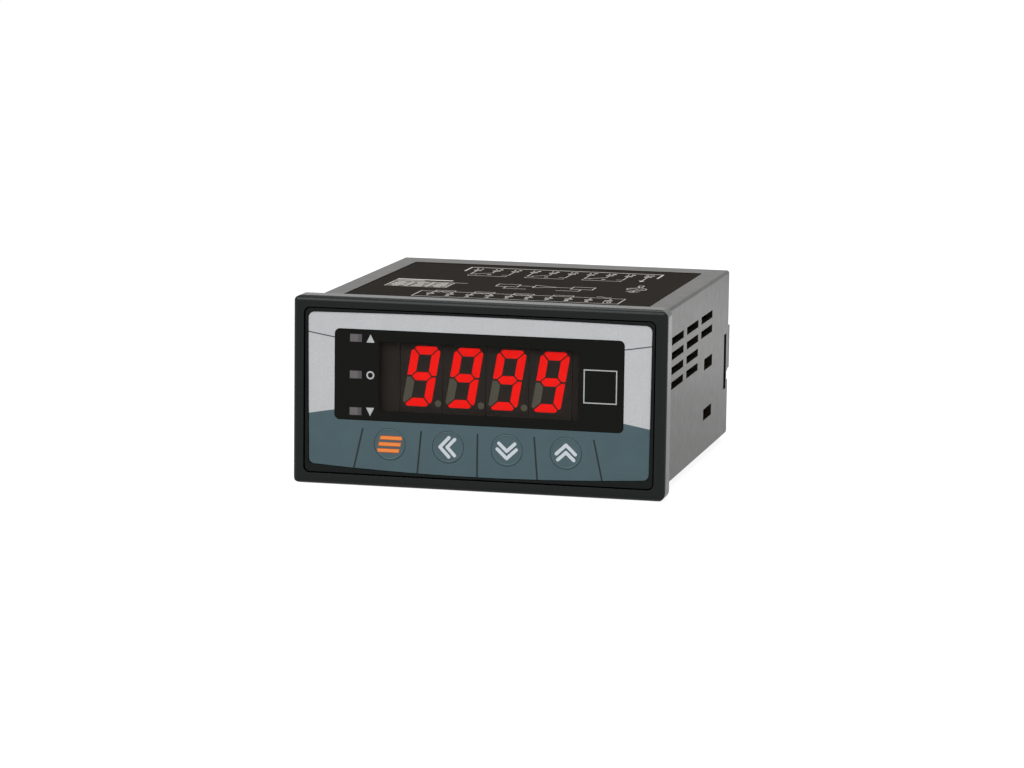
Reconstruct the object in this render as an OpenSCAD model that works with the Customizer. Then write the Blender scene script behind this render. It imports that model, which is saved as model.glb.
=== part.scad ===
// Panel meter with a four-digit display, four keys and two rows of screw terminals.
// +X is right, +Z is up and the front looks along -Y.
// The origin is the centre of the panel plane, which is the bezel's rear face.

/* [Case] */
// Width of the case behind the panel
case_w = 91.4; // [90:0.2:110]
// Height of the case behind the panel
case_h = 44.8; // [44:0.2:60]
// Length of the case behind the panel plane
case_len = 94; // [90:1:130]
// Thickness of the case walls
wall = 1.8; // [1.4:0.1:2.2]
// Corner radius of the case seen from the front
case_corner_r = 0.8; // [0.4:0.1:1.2]
// Width of the snap lugs on the case rim
lug_w = 10; // [6:1:16]
// Height of the snap lugs on the case rim
lug_h = 0.35; // [0.2:0.05:0.4]
// Thickness of the snap lugs on the case rim
lug_t = 0.8; // [0.6:0.1:1]
// Running clearance between moulded pieces
fit_gap = 0.15; // [0.1:0.05:0.25]

/* [Side openings] */
// Length of one vent slot
vent_len = 16; // [12:0.5:17]
// Height of one vent slot
vent_h = 1.95; // [1.5:0.05:2.4]
// Distance from one column of vents to the next
vent_step_y = 20.4; // [19:0.2:21]
// Distance from one row of vents to the next
vent_step_z = 3.77; // [3:0.01:3.9]
// Start of the first column behind the panel plane
vent_first_y = 12.4; // [10:0.2:13]
// Height of the top row's centre line
vent_top_z = 13.7; // [12:0.1:13.8]
// Rows in the two front columns
vent_rows = 4; // [2:1:4]
// Rows in the rear column
vent_rear_rows = 2; // [1:1:2]
// Length of a bracket window
window_slot_len = 11.6; // [8:0.2:12]
// Height of a bracket window
window_slot_h = 3; // [2:0.1:3.2]
// Front end of the bracket windows behind the panel plane
window_slot_y = 58.3; // [54:0.2:62]
// Height of the upper bracket window's centre line
bracket_upper_z = 1.4; // [0:0.1:2]
// Height of the lower bracket window's centre line
bracket_lower_z = -12; // [-12:0.1:-9]

/* [Bezel] */
// How far the bezel stands out past the case at each side
bezel_side_lap = 2.3; // [2:0.1:6]
// How far the bezel stands out past the case above and below
bezel_top_lap = 1.6; // [1.4:0.1:6]
// Thickness of the bezel ahead of the panel
bezel_t = 6; // [5.6:0.1:9]
// Width of the bezel's plain front frame at the sides
frame_w = 2.8; // [2.7:0.1:3.4]
// Corner radius of the bezel seen from the front
bezel_corner_r = 2; // [1:0.1:2.6]
// Rounding of the bezel's front edges
bezel_edge_r = 1.4; // [0.6:0.1:1.8]
// Depth of the pocket that takes the case rim
pocket_d = 2.8; // [2.4:0.1:3]

/* [Front plate] */
// Groove between the bezel and the front plate
groove = 0.35; // [0.2:0.05:0.6]
// Set-back of the front plate behind the bezel's face
plate_set_back = 0.3; // [0.1:0.05:0.5]
// Width of the ridge round the film
ridge_w = 0.6; // [0.4:0.05:0.9]
// Depth of the recess that takes the film
recess_d = 0.6; // [0.5:0.05:0.8]
// Thickness of the flange between bezel and case rim
flange_t = 1.2; // [1:0.1:1.6]
// Thickness of the plate's face behind the film
face_t = 1.8; // [1.4:0.1:2.2]
// Solid land round the edge of the plate's hollow rear
edge_land = 3.5; // [3:0.1:5]
// Wall of the light shield behind the window
shield_t = 1; // [0.8:0.1:1.2]
// Gap between the light shield and the display board
shield_gap = 0.4; // [0.3:0.1:0.8]
// Radius of the four board posts
post_r = 2.4; // [2:0.1:2.8]
// Distance of the posts from the display board's ends and edges
post_inset = 3.2; // [2.9:0.1:4]

/* [Face film] */
// Thickness of the film
film_t = 0.3; // [0.2:0.05:0.45]
// Gap between the film and its recess
film_gap = 0.15; // [0.1:0.05:0.3]
// How far the film's top edge bows up
film_bow_top = 0.4; // [0.2:0.1:1]
// How far the film's bottom edge bows down
film_bow_bottom = 1.5; // [0.5:0.1:2]
// How much each side leans in at the bottom
film_taper = 0.25; // [0.1:0.05:0.5]
// Corner radius of the film
film_corner_r = 1.5; // [1:0.1:2]

/* [Display window] */
// Distance from the window to the sides of the front plate
window_side = 7.75; // [7.4:0.05:9]
// Distance from the window to the front plate's upper edge
window_above = 5.05; // [4.6:0.05:5.4]
// Distance from the window to the front plate's lower edge
window_below = 13.75; // [13.2:0.05:14]
// Corner radius of the window
window_corner_r = 1.2; // [0.9:0.1:2]
// Thickness of the pane
pane_t = 1.6; // [1.2:0.1:2]
// Width of the ledge that carries the pane
ledge_w = 0.8; // [0.5:0.1:1]

/* [Digits] */
// Number of digits
digit_count = 4; // [4:1:4]
// Distance from one digit to the next
digit_pitch = 11.08; // [10.8:0.02:12]
// Space in the window above and below a character
digit_room = 3.8; // [3.4:0.1:4.4]
// Width of a character without its slant
digit_w = 7.5; // [7:0.1:7.8]
// Width of a segment's bar
segment_w = 2.1; // [1.6:0.1:2.3]
// Gap between two segments
segment_gap = 0.35; // [0.2:0.05:0.6]
// Slant of the characters in degrees
digit_slant = 9.5; // [6:0.5:10]
// Diameter of a decimal point
point_d = 1.7; // [1.2:0.1:1.8]
// Middle of the row of digits from the centre line
digits_x = 1.5; // [0:0.1:3]
// Height of the digits' middle above the window's middle
digits_up = 0.05; // [-0.1:0.05:0.2]
// Depth of a digit's housing
digit_depth = 8; // [7:0.1:10]
// Depth of the coloured filling in a segment
segment_depth = 0.6; // [0.4:0.1:1]
// Thickness of a housing's pins
pin_d = 0.6; // [0.4:0.1:0.8]
// Distance from one pin to the next
pin_pitch = 2; // [1.6:0.1:2.2]
// Border of a housing above and below the character
digit_border = 1.8; // [1:0.1:1.8]
// Free length of the pins behind a housing
pin_len = 2.1; // [1.9:0.1:3]
// Thickness of the mask round the digits
mask_t = 1; // [0.8:0.1:1.5]
// Gap between the pane and what stands behind it
pane_air = 0.5; // [0.4:0.1:0.8]

/* [Indicators] */
// Width of an indicator
indicator_w = 3.1; // [2.5:0.1:3.4]
// Height of an indicator
indicator_h = 1.95; // [1.6:0.05:2]
// Distance from the indicators' centres to the window's left side
indicator_inset = 5.4; // [3.5:0.1:6]
// Distance from the outer indicators' centres to the window's upper and lower edge
indicator_edge = 2.12; // [2:0.02:3]
// Thickness of the small lamp under an indicator
lamp_t = 1.4; // [1:0.1:2]

/* [Keys] */
// Diameter of a key
key_d = 8; // [7:0.1:8.6]
// Gap round a key in the film
key_gap = 0.1; // [0.1:0.01:0.2]
// Height of the embossed ring round a key
ring_h = 0.08; // [0.04:0.01:0.15]
// Width of the embossed ring round a key
ring_w = 0.5; // [0.3:0.1:0.8]
// Distance from one key to the next
key_pitch = 15.15; // [14:0.05:16]
// Height of the keys' centres above the front plate's lower edge
key_up = 7.85; // [7.4:0.05:8]
// Travel of a key
key_travel = 0.3; // [0.2:0.05:0.4]
// How far a plunger's head stays inside the key's edge
head_rim = 0.15; // [0.1:0.05:0.3]
// Clearance between a plunger's head and its guide tube
head_gap = 0.35; // [0.3:0.05:0.5]
// Distance from a guide tube's end to the switch's stem
tube_end_gap = 0.6; // [0.4:0.1:0.8]
// Thickness of a guide tube's end wall
tube_floor = 0.8; // [0.6:0.1:1]
// Clearance round a plunger's stem
stem_gap = 0.15; // [0.1:0.05:0.25]
// Wall behind the stem inside a key switch
switch_floor = 0.6; // [0.4:0.1:0.8]
// Thickness of a plunger's head
plunger_head_t = 1.2; // [0.8:0.1:1.6]
// Radius of a plunger's stem
stem_r = 1.7; // [1.3:0.1:1.9]
// Wall of the guide tube round a plunger
tube_wall = 0.9; // [0.7:0.1:1.1]
// Side of a key switch
switch_w = 6; // [5:0.1:7]
// Height of a key switch without its stem
switch_h = 3.4; // [3:0.1:3.8]
// Height of a switch's stem above its base
switch_stem_h = 1.4; // [1.2:0.1:1.8]

/* [Boards] */
// Thickness of the circuit boards
board_t = 1.6; // [1.2:0.1:2]
// Gap between the display board and the case wall
board_air = 1.6; // [1.4:0.1:2.2]
// Gap between the long boards' edges and the case wall
rail_air = 0.3; // [0.2:0.05:0.4]
// Reach of the board rails from the case wall
rail_reach = 1.2; // [1:0.1:1.6]
// Thickness of a board rail
rail_t = 1; // [0.8:0.1:1.2]
// Space between the display board and the long boards
board_front_air = 2; // [1:0.1:3]
// Width of a board header
header_w = 24; // [16:1:30]
// Thickness of a board header
header_t = 2.5; // [2:0.1:3.5]
// Length of a board header along the long board
header_len = 6; // [5:0.1:8]
// Radius of the small screws' shanks
screw_r = 1; // [0.8:0.1:1.2]
// Radius of the small screws' heads
screw_head_r = 1.9; // [1.6:0.1:2.4]
// Thickness of the small screws' heads
screw_head_t = 1.3; // [1:0.1:1.6]
// Depth of the small screws in the posts
screw_depth = 5; // [3:0.1:6]

/* [Parts on the boards] */
// Width of the transformer core
core_w = 30; // [26:0.5:34]
// Height of the transformer core
core_h = 25; // [22:0.5:26]
// Stack thickness of the transformer core
core_stack = 14; // [10:0.5:16]
// Width of the core's outer legs
core_leg = 4; // [3:0.5:5]
// Width of the core's centre leg
core_centre = 8; // [6:0.5:9]
// Clearance between the bobbin and the core
core_gap = 0.1; // [0.05:0.05:0.2]
// Thickness of the bobbin's flanges
bobbin_t = 1; // [0.8:0.1:1.4]
// Thickness of the winding over the core's faces
coil_build = 4; // [3:0.5:5]
// Distance of the transformer's centre right of the centre line
transformer_x = 18; // [16:0.5:20]
// Distance of the transformer's centre behind the long boards' front edge
transformer_y = 19; // [17:0.5:20]
// Length of a relay
relay_len = 19; // [15:0.5:20]
// Width of a relay
relay_w = 10; // [8:0.5:12]
// Height of a relay
relay_h = 15; // [12:0.5:16]
// Distance from one relay to the next
relay_pitch = 24; // [20:0.5:27]
// Space between the relays and the terminal tails
relay_air = 2; // [1:0.5:4]
// Diameter of a capacitor
capacitor_d = 10; // [8:0.5:12]
// Height of a capacitor
capacitor_h = 15; // [10:0.5:18]
// Distance of the capacitors left of the centre line
capacitor_x = 22; // [18:0.5:28]
// Distance of the front capacitor behind the long boards' front edge
capacitor_y = 12; // [8:0.5:14]
// Depth of the bead rolled into a capacitor
bead = 0.4; // [0.2:0.1:0.6]
// Distance between the two capacitors
capacitor_pitch = 13; // [12.5:0.5:16]
// Side of the controller chip
chip_w = 10; // [8:0.5:12]
// Distance of the converter chip from the meter's middle
chip_aside = 11.4; // [8:0.1:14]
// Distance from one lead of a chip to the next
lead_pitch = 1.27; // [1:0.01:1.4]
// Free length of a chip's leads
lead_len = 1; // [0.6:0.1:1.5]
// Width of a chip's leads
lead_w = 0.4; // [0.3:0.05:0.5]
// Thickness of a chip
chip_t = 1.4; // [1:0.1:1.8]

/* [Rear] */
// Thickness of the rear cover
cover_t = 3; // [2.4:0.1:4]
// Set-back of the rear cover inside the case end
cover_inset = 0.5; // [0.3:0.1:1]
// Height of the raised bar between the terminal rows
bar_h = 11.7; // [10:0.1:12]
// Height of the bar's middle
bar_z = 1.35; // [0.8:0.05:1.5]
// Reach of the bar behind the case
bar_reach = 3; // [1.5:0.1:5]
// Length of the latch slot along the case
latch_len = 3.5; // [3:0.1:4]
// Height of the latch slot
latch_h = 15; // [10:0.5:15]
// Height of the latch slot's middle
latch_z = -2; // [-2:0.1:0]
// Thickness of the cover's latch arms
arm_t = 1.2; // [1:0.1:1.4]
// Reach of the cover's hooks into the latch slots
hook_reach = 1; // [0.6:0.1:1.2]
// Distance from the latch slot's rear edge to the case end
latch_rear = 2.6; // [2.4:0.1:3]
// Height of the release notch in the case end
notch_h = 2.5; // [2:0.1:3]
// Distance from the bar to the release notch
notch_air = 0.4; // [0.2:0.1:1]
// Depth of the release notch in the case end
notch_d = 1.5; // [1:0.1:2]

/* [Terminals] */
// Space beside a terminal block for the latch arms
block_side_air = 2; // [1.9:0.05:2.4]
// Distance from one terminal to the next
terminal_pitch = 8.2; // [7.8:0.1:8.2]
// Thickness of the barrier between two terminals
barrier_t = 1.3; // [1:0.1:1.4]
// Height of a terminal block
block_h = 12; // [11.5:0.1:12.2]
// Length of a terminal block
block_len = 15; // [14:0.5:17]
// Distance from a terminal block to the case's inside
block_air = 0.7; // [0.5:0.1:0.9]
// Depth of a terminal's pocket
pocket_len = 7; // [6.5:0.1:7.5]
// Height of a terminal's pocket
pocket_h = 9.4; // [9:0.1:9.6]
// Thickness of a contact plate
contact_t = 0.8; // [0.6:0.1:1]
// Width of a contact's tail
tail_w = 2.6; // [2:0.1:3]
// Length of a contact's tail on the board
tail_len = 5; // [3:0.5:6]
// Clearance beside a clamp plate and a contact plate in the pocket
clamp_air = 0.3; // [0.2:0.05:0.4]
// Thickness of a clamp plate
clamp_t = 0.9; // [0.7:0.1:1.1]
// Radius of a terminal screw's shank
terminal_screw_r = 1.5; // [1.2:0.1:1.6]
// Radius of a terminal screw's head
terminal_head_r = 2.8; // [2.4:0.1:3]
// Thickness of a terminal screw's head
terminal_head_t = 1.9; // [1.5:0.1:2.2]
// Length of a terminal screw's shank below its clamp plate
terminal_shank = 6.5; // [5:0.1:7]

/* [Top label] */
// Distance from the label's recess to the case's sides
label_side = 5.8; // [4:0.1:10]
// Front end of the label's recess behind the panel plane
label_front = 8; // [5:0.5:20]
// Distance from the label's recess to the case end
label_rear = 9; // [6:0.5:14]
// Depth of the label's recess
label_recess = 0.35; // [0.25:0.05:0.5]
// Thickness of the label
label_t = 0.2; // [0.1:0.05:0.25]

/* [Hidden] */
$fn = 48;
eps = 1;

// Sizes across the front
bezel_w = case_w + 2 * bezel_side_lap;
bezel_h = case_h + 2 * bezel_top_lap;
opening_w = bezel_w - 2 * frame_w;
opening_h = bezel_h - 2 * frame_w;
opening_r = bezel_corner_r - groove;
plate_w = opening_w - 2 * groove;
plate_h = opening_h - 2 * groove;
plate_r = opening_r - groove;
inner_w = case_w - 2 * wall;
inner_h = case_h - 2 * wall;
inner_r = case_corner_r / 2;
window_w = plate_w - 2 * window_side;
window_h = plate_h - window_above - window_below;
window_z = (window_below - window_above) / 2;
indicator_x = indicator_inset - window_w / 2;
indicator_pitch = window_h / 2 - indicator_edge;
key_z = key_up - plate_h / 2;
digit_h = window_h - 2 * digit_room;
digits_z = window_z + digits_up;
film_half_w = plate_w / 2 - ridge_w - film_gap;
film_top = plate_h / 2 - ridge_w - film_bow_top;
film_bottom = -plate_h / 2 + ridge_w + film_bow_bottom;

// Planes from the front to the display board
y_plate = -bezel_t + plate_set_back;
y_recess = y_plate + recess_d;
y_film = y_recess - film_t;
y_pane = y_film + pane_t;
y_step = -pocket_d;
y_rim = y_step + flange_t;
y_digit = y_pane + pane_air;
y_digit_back = y_digit + digit_depth;
y_board = y_digit_back + pin_len;
y_board_back = y_board + board_t;
y_switch = y_board - switch_h;
y_stem = y_switch - switch_stem_h;
y_tube = y_stem - tube_end_gap;

// Planes from the long boards to the rear end
y_boards = y_board_back + board_front_air;
y_cover = case_len - cover_inset;
y_block = y_cover - block_len;
y_boards_end = y_block - fit_gap;
y_floor = y_cover - pocket_len;
y_latch = case_len - latch_rear - latch_len;

// Heights of the terminal blocks and of the long boards' outer faces
screw_gap = 0.05;
tail_gap = 0.15;
terminal_hole_r = terminal_screw_r + screw_gap;
z_block = inner_h / 2 - block_air - block_h / 2;
z_board = z_block + terminal_hole_r + tail_gap + contact_t + board_t;
rail_gap = 0.1;

// Sizes that follow from their neighbours
key_count = 4;
digit_pins = 5;
corner_steps = 6;
edge_steps = 16;
head_r = key_d / 2 - head_rim;
key_bore_r = head_r + head_gap;
tube_r = key_bore_r + tube_wall;
board_w = inner_w - 2 * board_air;
board_h = inner_h - 2 * board_air;
post_x = board_w / 2 - post_inset;
post_z = board_h / 2 - post_inset;
housing_w = digit_pitch - 0.1;
housing_h = digit_h + 2 * digit_border;
terminal_count = floor((inner_w - 2 * block_side_air - barrier_t) / terminal_pitch);
block_w = terminal_count * terminal_pitch + barrier_t;
clamp_w = terminal_pitch - barrier_t - 2 * clamp_air;

// ---- shared shapes ----

// Extrudes a shape drawn in X and Z from the plane y0 back to the plane y1.
module slab(y0, y1) {
    translate([0, y1, 0]) rotate([90, 0, 0]) linear_extrude(y1 - y0) children();
}

// Extrudes a shape drawn in X and Y from the height z0 up to z1.
module layer(z0, z1) {
    translate([0, 0, z0]) linear_extrude(z1 - z0) children();
}

// Rectangle with round corners, centred.
module rounded_rect(w, h, r) {
    square([w - 2 * r, h], center = true);
    square([w, h - 2 * r], center = true);
    for (sx = [-1, 1], sy = [-1, 1])
        translate([sx * (w / 2 - r), sy * (h / 2 - r)]) circle(r);
}

// Cross-section of the bezel: w wide, t deep, with its two front corners round.
module front_rounded(w, t, r) {
    translate([-w / 2, -t + r]) square([w, t - r]);
    translate([-w / 2 + r, -t]) square([w - 2 * r, 2 * r]);
    for (side = [-1, 1]) translate([side * (w / 2 - r), -t + r]) circle(r);
}

// Box with its middle in X and Z on the given point, from the plane y0 back to y1.
module bar(x, z, w, h, y0, y1) {
    translate([x - w / 2, y0, z - h / 2]) cube([w, y1 - y0, h]);
}

// Round bar along Y on the given point.
module rod(x, z, r, y0, y1) {
    slab(y0, y1) translate([x, z]) circle(r);
}

// ---- case ----

// Small lugs on the case rim, which snap into the bezel; grow is the clearance round them.
module rim_lugs(grow) {
    y0 = y_rim + lug_t / 2;
    for (sx = [-1, 1], sz = [-1, 1])
        bar(sx * case_w / 4, sz * (case_h / 2 - wall / 4), lug_w + 2 * grow,
            wall / 2 + 2 * lug_h + 2 * grow, y0 - grow, y0 + lug_t + grow);
}

// One vent, cut through both side walls.
module vent(column, row) {
    y0 = vent_first_y + column * vent_step_y;
    bar(0, vent_top_z - row * vent_step_z, case_w + 2 * eps, vent_h, y0, y0 + vent_len);
}

module side_openings() {
    for (column = [0, 1], row = [0:vent_rows - 1]) vent(column, row);
    for (row = [0:vent_rear_rows - 1]) vent(2, row);
    for (z = [bracket_upper_z, bracket_lower_z])
        bar(0, z, case_w + 2 * eps, window_slot_h, window_slot_y, window_slot_y + window_slot_len);
    bar(0, latch_z, case_w + 2 * eps, latch_h, y_latch, y_latch + latch_len);
    bar(0, bar_z - bar_h / 2 - notch_h / 2 - notch_air, case_w + 2 * eps, notch_h,
        case_len - notch_d, case_len + eps);
}

// Rails along both side walls, one on each face of each long board.
module board_rails() {
    for (sx = [-1, 1], sz = [-1, 1], z = [z_board + rail_t / 2, z_board - board_t - rail_gap - rail_t / 2])
        bar(sx * (inner_w / 2 - rail_reach / 2 + wall / 4), sz * z, rail_reach + wall / 2, rail_t,
            y_boards, y_boards_end);
}

module label_area(grow, z0, z1) {
    w = case_w - 2 * label_side + 2 * grow;
    l = case_len - label_rear - label_front + 2 * grow;
    translate([0, (case_len - label_rear + label_front) / 2, 0]) layer(z0, z1) rounded_rect(w, l, 1);
}

module case() {
    color("#3a3c3c") difference() {
        union() {
            difference() {
                slab(y_rim, case_len) rounded_rect(case_w, case_h, case_corner_r);
                slab(y_rim - eps, case_len + eps) rounded_rect(inner_w, inner_h, inner_r);
            }
            board_rails();
            rim_lugs(0);
        }
        side_openings();
        label_area(0, case_h / 2 - label_recess, case_h / 2 + eps);
    }
}

module top_label() {
    seat = case_h / 2 - label_recess;
    color("#232323") label_area(-2 * fit_gap, seat, seat + label_t);
}

// ---- bezel, front plate, film and window ----

module bezel() {
    color("#25292a") difference() {
        intersection() {
            slab(-bezel_t, 0) rounded_rect(bezel_w, bezel_h, bezel_corner_r);
            layer(-bezel_h, bezel_h) front_rounded(bezel_w, bezel_t, bezel_edge_r);
            rotate([0, -90, 0]) layer(-bezel_w, bezel_w) front_rounded(bezel_h, bezel_t, bezel_edge_r);
        }
        slab(-bezel_t - eps, eps) rounded_rect(opening_w, opening_h, opening_r);
        slab(y_step, eps) rounded_rect(case_w + 2 * fit_gap, case_h + 2 * fit_gap, case_corner_r + fit_gap);
        rim_lugs(fit_gap);
    }
}

// Outline of the film: the top bows up, the bottom bows down and the sides lean in.
function bow(x, rise) = rise * (1 - pow(x / film_half_w, 2));
function arc(cx, cz, r, from, n = corner_steps) =
    [for (i = [0:n]) [cx + r * cos(from - 90 * i / n), cz + r * sin(from - 90 * i / n)]];
function film_outline(grow, n = edge_steps) =
    let (half = film_half_w + grow, low = half - film_taper, r = film_corner_r,
        top = film_top + grow, bottom = film_bottom - grow, lift = bow(half - r, film_bow_top),
        drop = bow(low - r, film_bow_bottom))
    concat(
        arc(-half + r, top + lift - r, r, 180),
        [for (i = [1:n - 1]) let (x = (half - r) * (2 * i / n - 1)) [x, top + bow(x, film_bow_top)]],
        arc(half - r, top + lift - r, r, 90),
        arc(low - r, bottom - drop + r, r, 0),
        [for (i = [1:n - 1]) let (x = (low - r) * (1 - 2 * i / n)) [x, bottom - bow(x, film_bow_bottom)]],
        arc(-low + r, bottom - drop + r, r, -90));

module window_outline(grow) {
    translate([0, window_z]) rounded_rect(window_w + 2 * grow, window_h + 2 * grow, window_corner_r + grow);
}

function key_x(i) = (i - (key_count - 1) / 2) * key_pitch;
module at_keys() {
    for (i = [0:key_count - 1]) translate([key_x(i), key_z]) children();
}

module at_posts() {
    for (sx = [-1, 1], sz = [-1, 1]) translate([sx * post_x, sz * post_z]) children();
}

// Front plate with a hollow rear, in which the window's frame, the light shield, the guide tubes and
// the board posts stand.
module front_plate() {
    y_hollow = y_recess + face_t;
    y_root = y_recess + face_t / 2;
    color("#1d2021") difference() {
        union() {
            difference() {
                union() {
                    slab(y_plate, y_step) rounded_rect(plate_w, plate_h, plate_r);
                    slab(y_step, y_rim) rounded_rect(case_w, case_h, case_corner_r);
                }
                slab(y_hollow, y_rim + eps)
                    rounded_rect(plate_w - 2 * edge_land, plate_h - 2 * edge_land, shield_t);
            }
            slab(y_root, y_rim) window_outline(fit_gap + shield_t);
            slab(y_root, y_board - shield_gap) window_outline(shield_t - ledge_w);
            slab(y_root, y_tube) at_keys() circle(tube_r);
            slab(y_root, y_board) at_posts() circle(post_r);
        }
        slab(y_plate - eps, y_recess) polygon(film_outline(film_gap));
        slab(y_plate - eps, y_pane) window_outline(fit_gap);
        slab(y_plate - eps, y_board + eps) window_outline(-ledge_w);
        slab(y_plate - eps, y_tube - tube_floor) at_keys() circle(key_bore_r);
        slab(y_plate - eps, y_tube + eps) at_keys() circle(stem_r + stem_gap);
        slab(y_board - screw_depth, y_board + eps) at_posts() circle(screw_r + screw_gap);
    }
}

module face_film() {
    color("#aeb2b4") slab(y_film, y_recess) difference() {
        polygon(film_outline(0));
        window_outline(fit_gap);
        at_keys() circle(key_d / 2 + key_gap);
    }
}

module display_window() {
    color("#201c1c") slab(y_film, y_pane) window_outline(0);
}

// ---- keys, numbered from the left ----

module key_pad(i) {
    rim = key_d / 2;
    color("#4f6168") translate([key_x(i), y_recess, key_z]) rotate([90, 0, 0])
        rotate_extrude() polygon([[0, 0], [rim, 0], [rim, film_t], [rim - ring_w / 2, film_t + ring_h],
            [rim - ring_w, film_t], [0, film_t]]);
}

module key_plunger(i) {
    color("#e3e3df") union() {
        rod(key_x(i), key_z, head_r, y_recess, y_recess + plunger_head_t);
        rod(key_x(i), key_z, stem_r, y_recess, y_stem);
    }
}

module key_switch(i) {
    x = key_x(i);
    color("#2e2e30") difference() {
        bar(x, key_z, switch_w, switch_w, y_switch, y_board);
        rod(x, key_z, stem_r + stem_gap, y_switch - eps, y_board - switch_floor);
    }
}

module key_stem(i) {
    color("#c9c4b8") rod(key_x(i), key_z, stem_r, y_stem,
        y_board - switch_floor - key_travel - rail_gap);
}

// ---- digits, numbered from the left ----

function digit_x(i) = digits_x + (i - (digit_count - 1) / 2) * digit_pitch;
function slanted(points) = [for (p = points) [p[0] + tan(digit_slant) * p[1], p[1]]];
function flipped(points, sx, sz) = [for (p = points) [sx * p[0], sz * p[1]]];

// Outlines of the top bar, the upper right bar and the middle bar of a character.
half_w = digit_w / 2;
half_h = digit_h / 2;
mitre = segment_gap * 0.7;
corner = segment_w / 2;
top_bar = [[-half_w + corner + mitre, half_h], [half_w - corner - mitre, half_h],
    [half_w - corner / 2 - mitre, half_h - corner / 2], [half_w - segment_w - mitre, half_h - segment_w],
    [-half_w + segment_w + mitre, half_h - segment_w], [-half_w + corner / 2 + mitre, half_h - corner / 2]];
right_bar = [[half_w, half_h - corner - mitre], [half_w - corner / 2, half_h - corner / 2 - mitre],
    [half_w - segment_w, half_h - segment_w - mitre], [half_w - segment_w, corner + mitre],
    [half_w - corner, mitre], [half_w, mitre]];
middle_bar = [[-half_w + corner + mitre, 0], [-half_w + segment_w + mitre, corner],
    [half_w - segment_w - mitre, corner], [half_w - corner - mitre, 0],
    [half_w - segment_w - mitre, -corner], [-half_w + segment_w + mitre, -corner]];
lower_left_bar = flipped(right_bar, -1, -1);
nine_bars = [top_bar, right_bar, flipped(right_bar, 1, -1), flipped(top_bar, 1, -1),
    flipped(right_bar, -1, 1), middle_bar];

module nine(i) {
    for (points = nine_bars) translate([digit_x(i), digits_z]) polygon(slanted(points));
}

module lower_left(i) {
    translate([digit_x(i), digits_z]) polygon(slanted(lower_left_bar));
}

module point(i) {
    translate([digit_x(i) + digit_pitch / 2 - point_d / 2 - segment_gap, digits_z - half_h + point_d / 2])
        circle(point_d / 2);
}

module digit(i) {
    color("#262323") union() {
        difference() {
            bar(digit_x(i), digits_z, housing_w, housing_h, y_digit, y_digit_back);
            slab(y_digit - eps, y_digit + segment_depth) {
                nine(i);
                lower_left(i);
                if (i < digit_count - 1) point(i);
            }
        }
        for (pin = [0:digit_pins - 1], sz = [-1, 1])
            rod(digit_x(i) + (pin - (digit_pins - 1) / 2) * pin_pitch,
                digits_z + sz * (housing_h / 2 - digit_border), pin_d / 2, y_digit_back - pin_d, y_board);
    }
}

module digit_lit(i) {
    color("#ec1c14") slab(y_digit, y_digit + segment_depth) nine(i);
}

module unlit_segments() {
    color("#4b4640") slab(y_digit, y_digit + segment_depth) {
        for (i = [0:digit_count - 1]) lower_left(i);
        for (i = [0:digit_count - 2]) point(i);
    }
}

// Dark mask inside the light shield, with one opening for the digits. The upper and lower indicator
// stand in notches of its edge.
module display_mask() {
    notch = 2 * fit_gap + ledge_w;
    color("#201d1d") slab(y_digit, y_digit + mask_t) difference() {
        window_outline(-ledge_w - fit_gap);
        translate([digits_x, digits_z])
            square([digit_count * digit_pitch + fit_gap, housing_h + 2 * fit_gap], center = true);
        for (row = [-1:1]) translate([indicator_x, window_z + row * (indicator_pitch + notch / 2)])
            square([indicator_w + 2 * fit_gap, indicator_h + 2 * fit_gap + abs(row) * notch], center = true);
    }
}

// ---- indicators, row 1 is the upper one ----

module indicator(row) {
    color("#6e6a70") bar(indicator_x, window_z + row * indicator_pitch, indicator_w, indicator_h,
        y_digit, y_board - lamp_t);
}

module indicator_lamps() {
    color("#e8e0c0") for (row = [-1:1])
        bar(indicator_x, window_z + row * indicator_pitch, indicator_w, indicator_h,
            y_board - lamp_t, y_board);
}

// ---- boards ----

module display_board() {
    color("#1f5a3a") slab(y_board, y_board_back) difference() {
        square([board_w, board_h], center = true);
        at_posts() circle(screw_r + screw_gap);
    }
}

module board_screws() {
    color("#b8b8b4") difference() {
        union() {
            slab(y_board_back, y_board_back + screw_head_t) at_posts() circle(screw_head_r);
            slab(y_board - screw_depth + screw_r / 2, y_board_back) at_posts() circle(screw_r);
        }
        slab(y_board_back + screw_head_t / 2, y_board_back + screw_head_t + eps) at_posts() {
            square([2 * screw_r, screw_r / 2], center = true);
            square([screw_r / 2, 2 * screw_r], center = true);
        }
    }
}

// Flat chip with a row of leads on two sides, drawn lying on the plane Z = 0.
module chip(w, l) {
    leads = floor(l / lead_pitch) - 1;
    layer(0, chip_t) square([w, l], center = true);
    layer(0, chip_t / 3) for (side = [-1, 1], k = [0:leads - 1])
        translate([side * w / 2, (k - (leads - 1) / 2) * lead_pitch])
            square([2 * lead_len, lead_w], center = true);
}

module controller_chip() {
    color("#28282a") translate([0, y_board_back, 0]) rotate([-90, 0, 0]) chip(chip_w, chip_w);
}

module converter_chip() {
    color("#28282a") translate([-chip_aside, y_boards + 1.5 * chip_w, z_board - board_t])
        rotate([180, 0, 0]) chip(chip_w / 2, chip_w);
}

// Header between the display board and a long board; side is 1 for the upper one.
module header(side) {
    z = z_board - board_t - header_t / 2;
    color("#1a1a1a") bar(0, side * z, header_w, header_t, y_board_back, y_board_back + header_len);
}

module long_board(side) {
    z = z_board - board_t / 2;
    color("#1f5a3a") bar(0, side * z, inner_w - 2 * rail_air, board_t, y_boards, y_boards_end);
}

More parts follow.
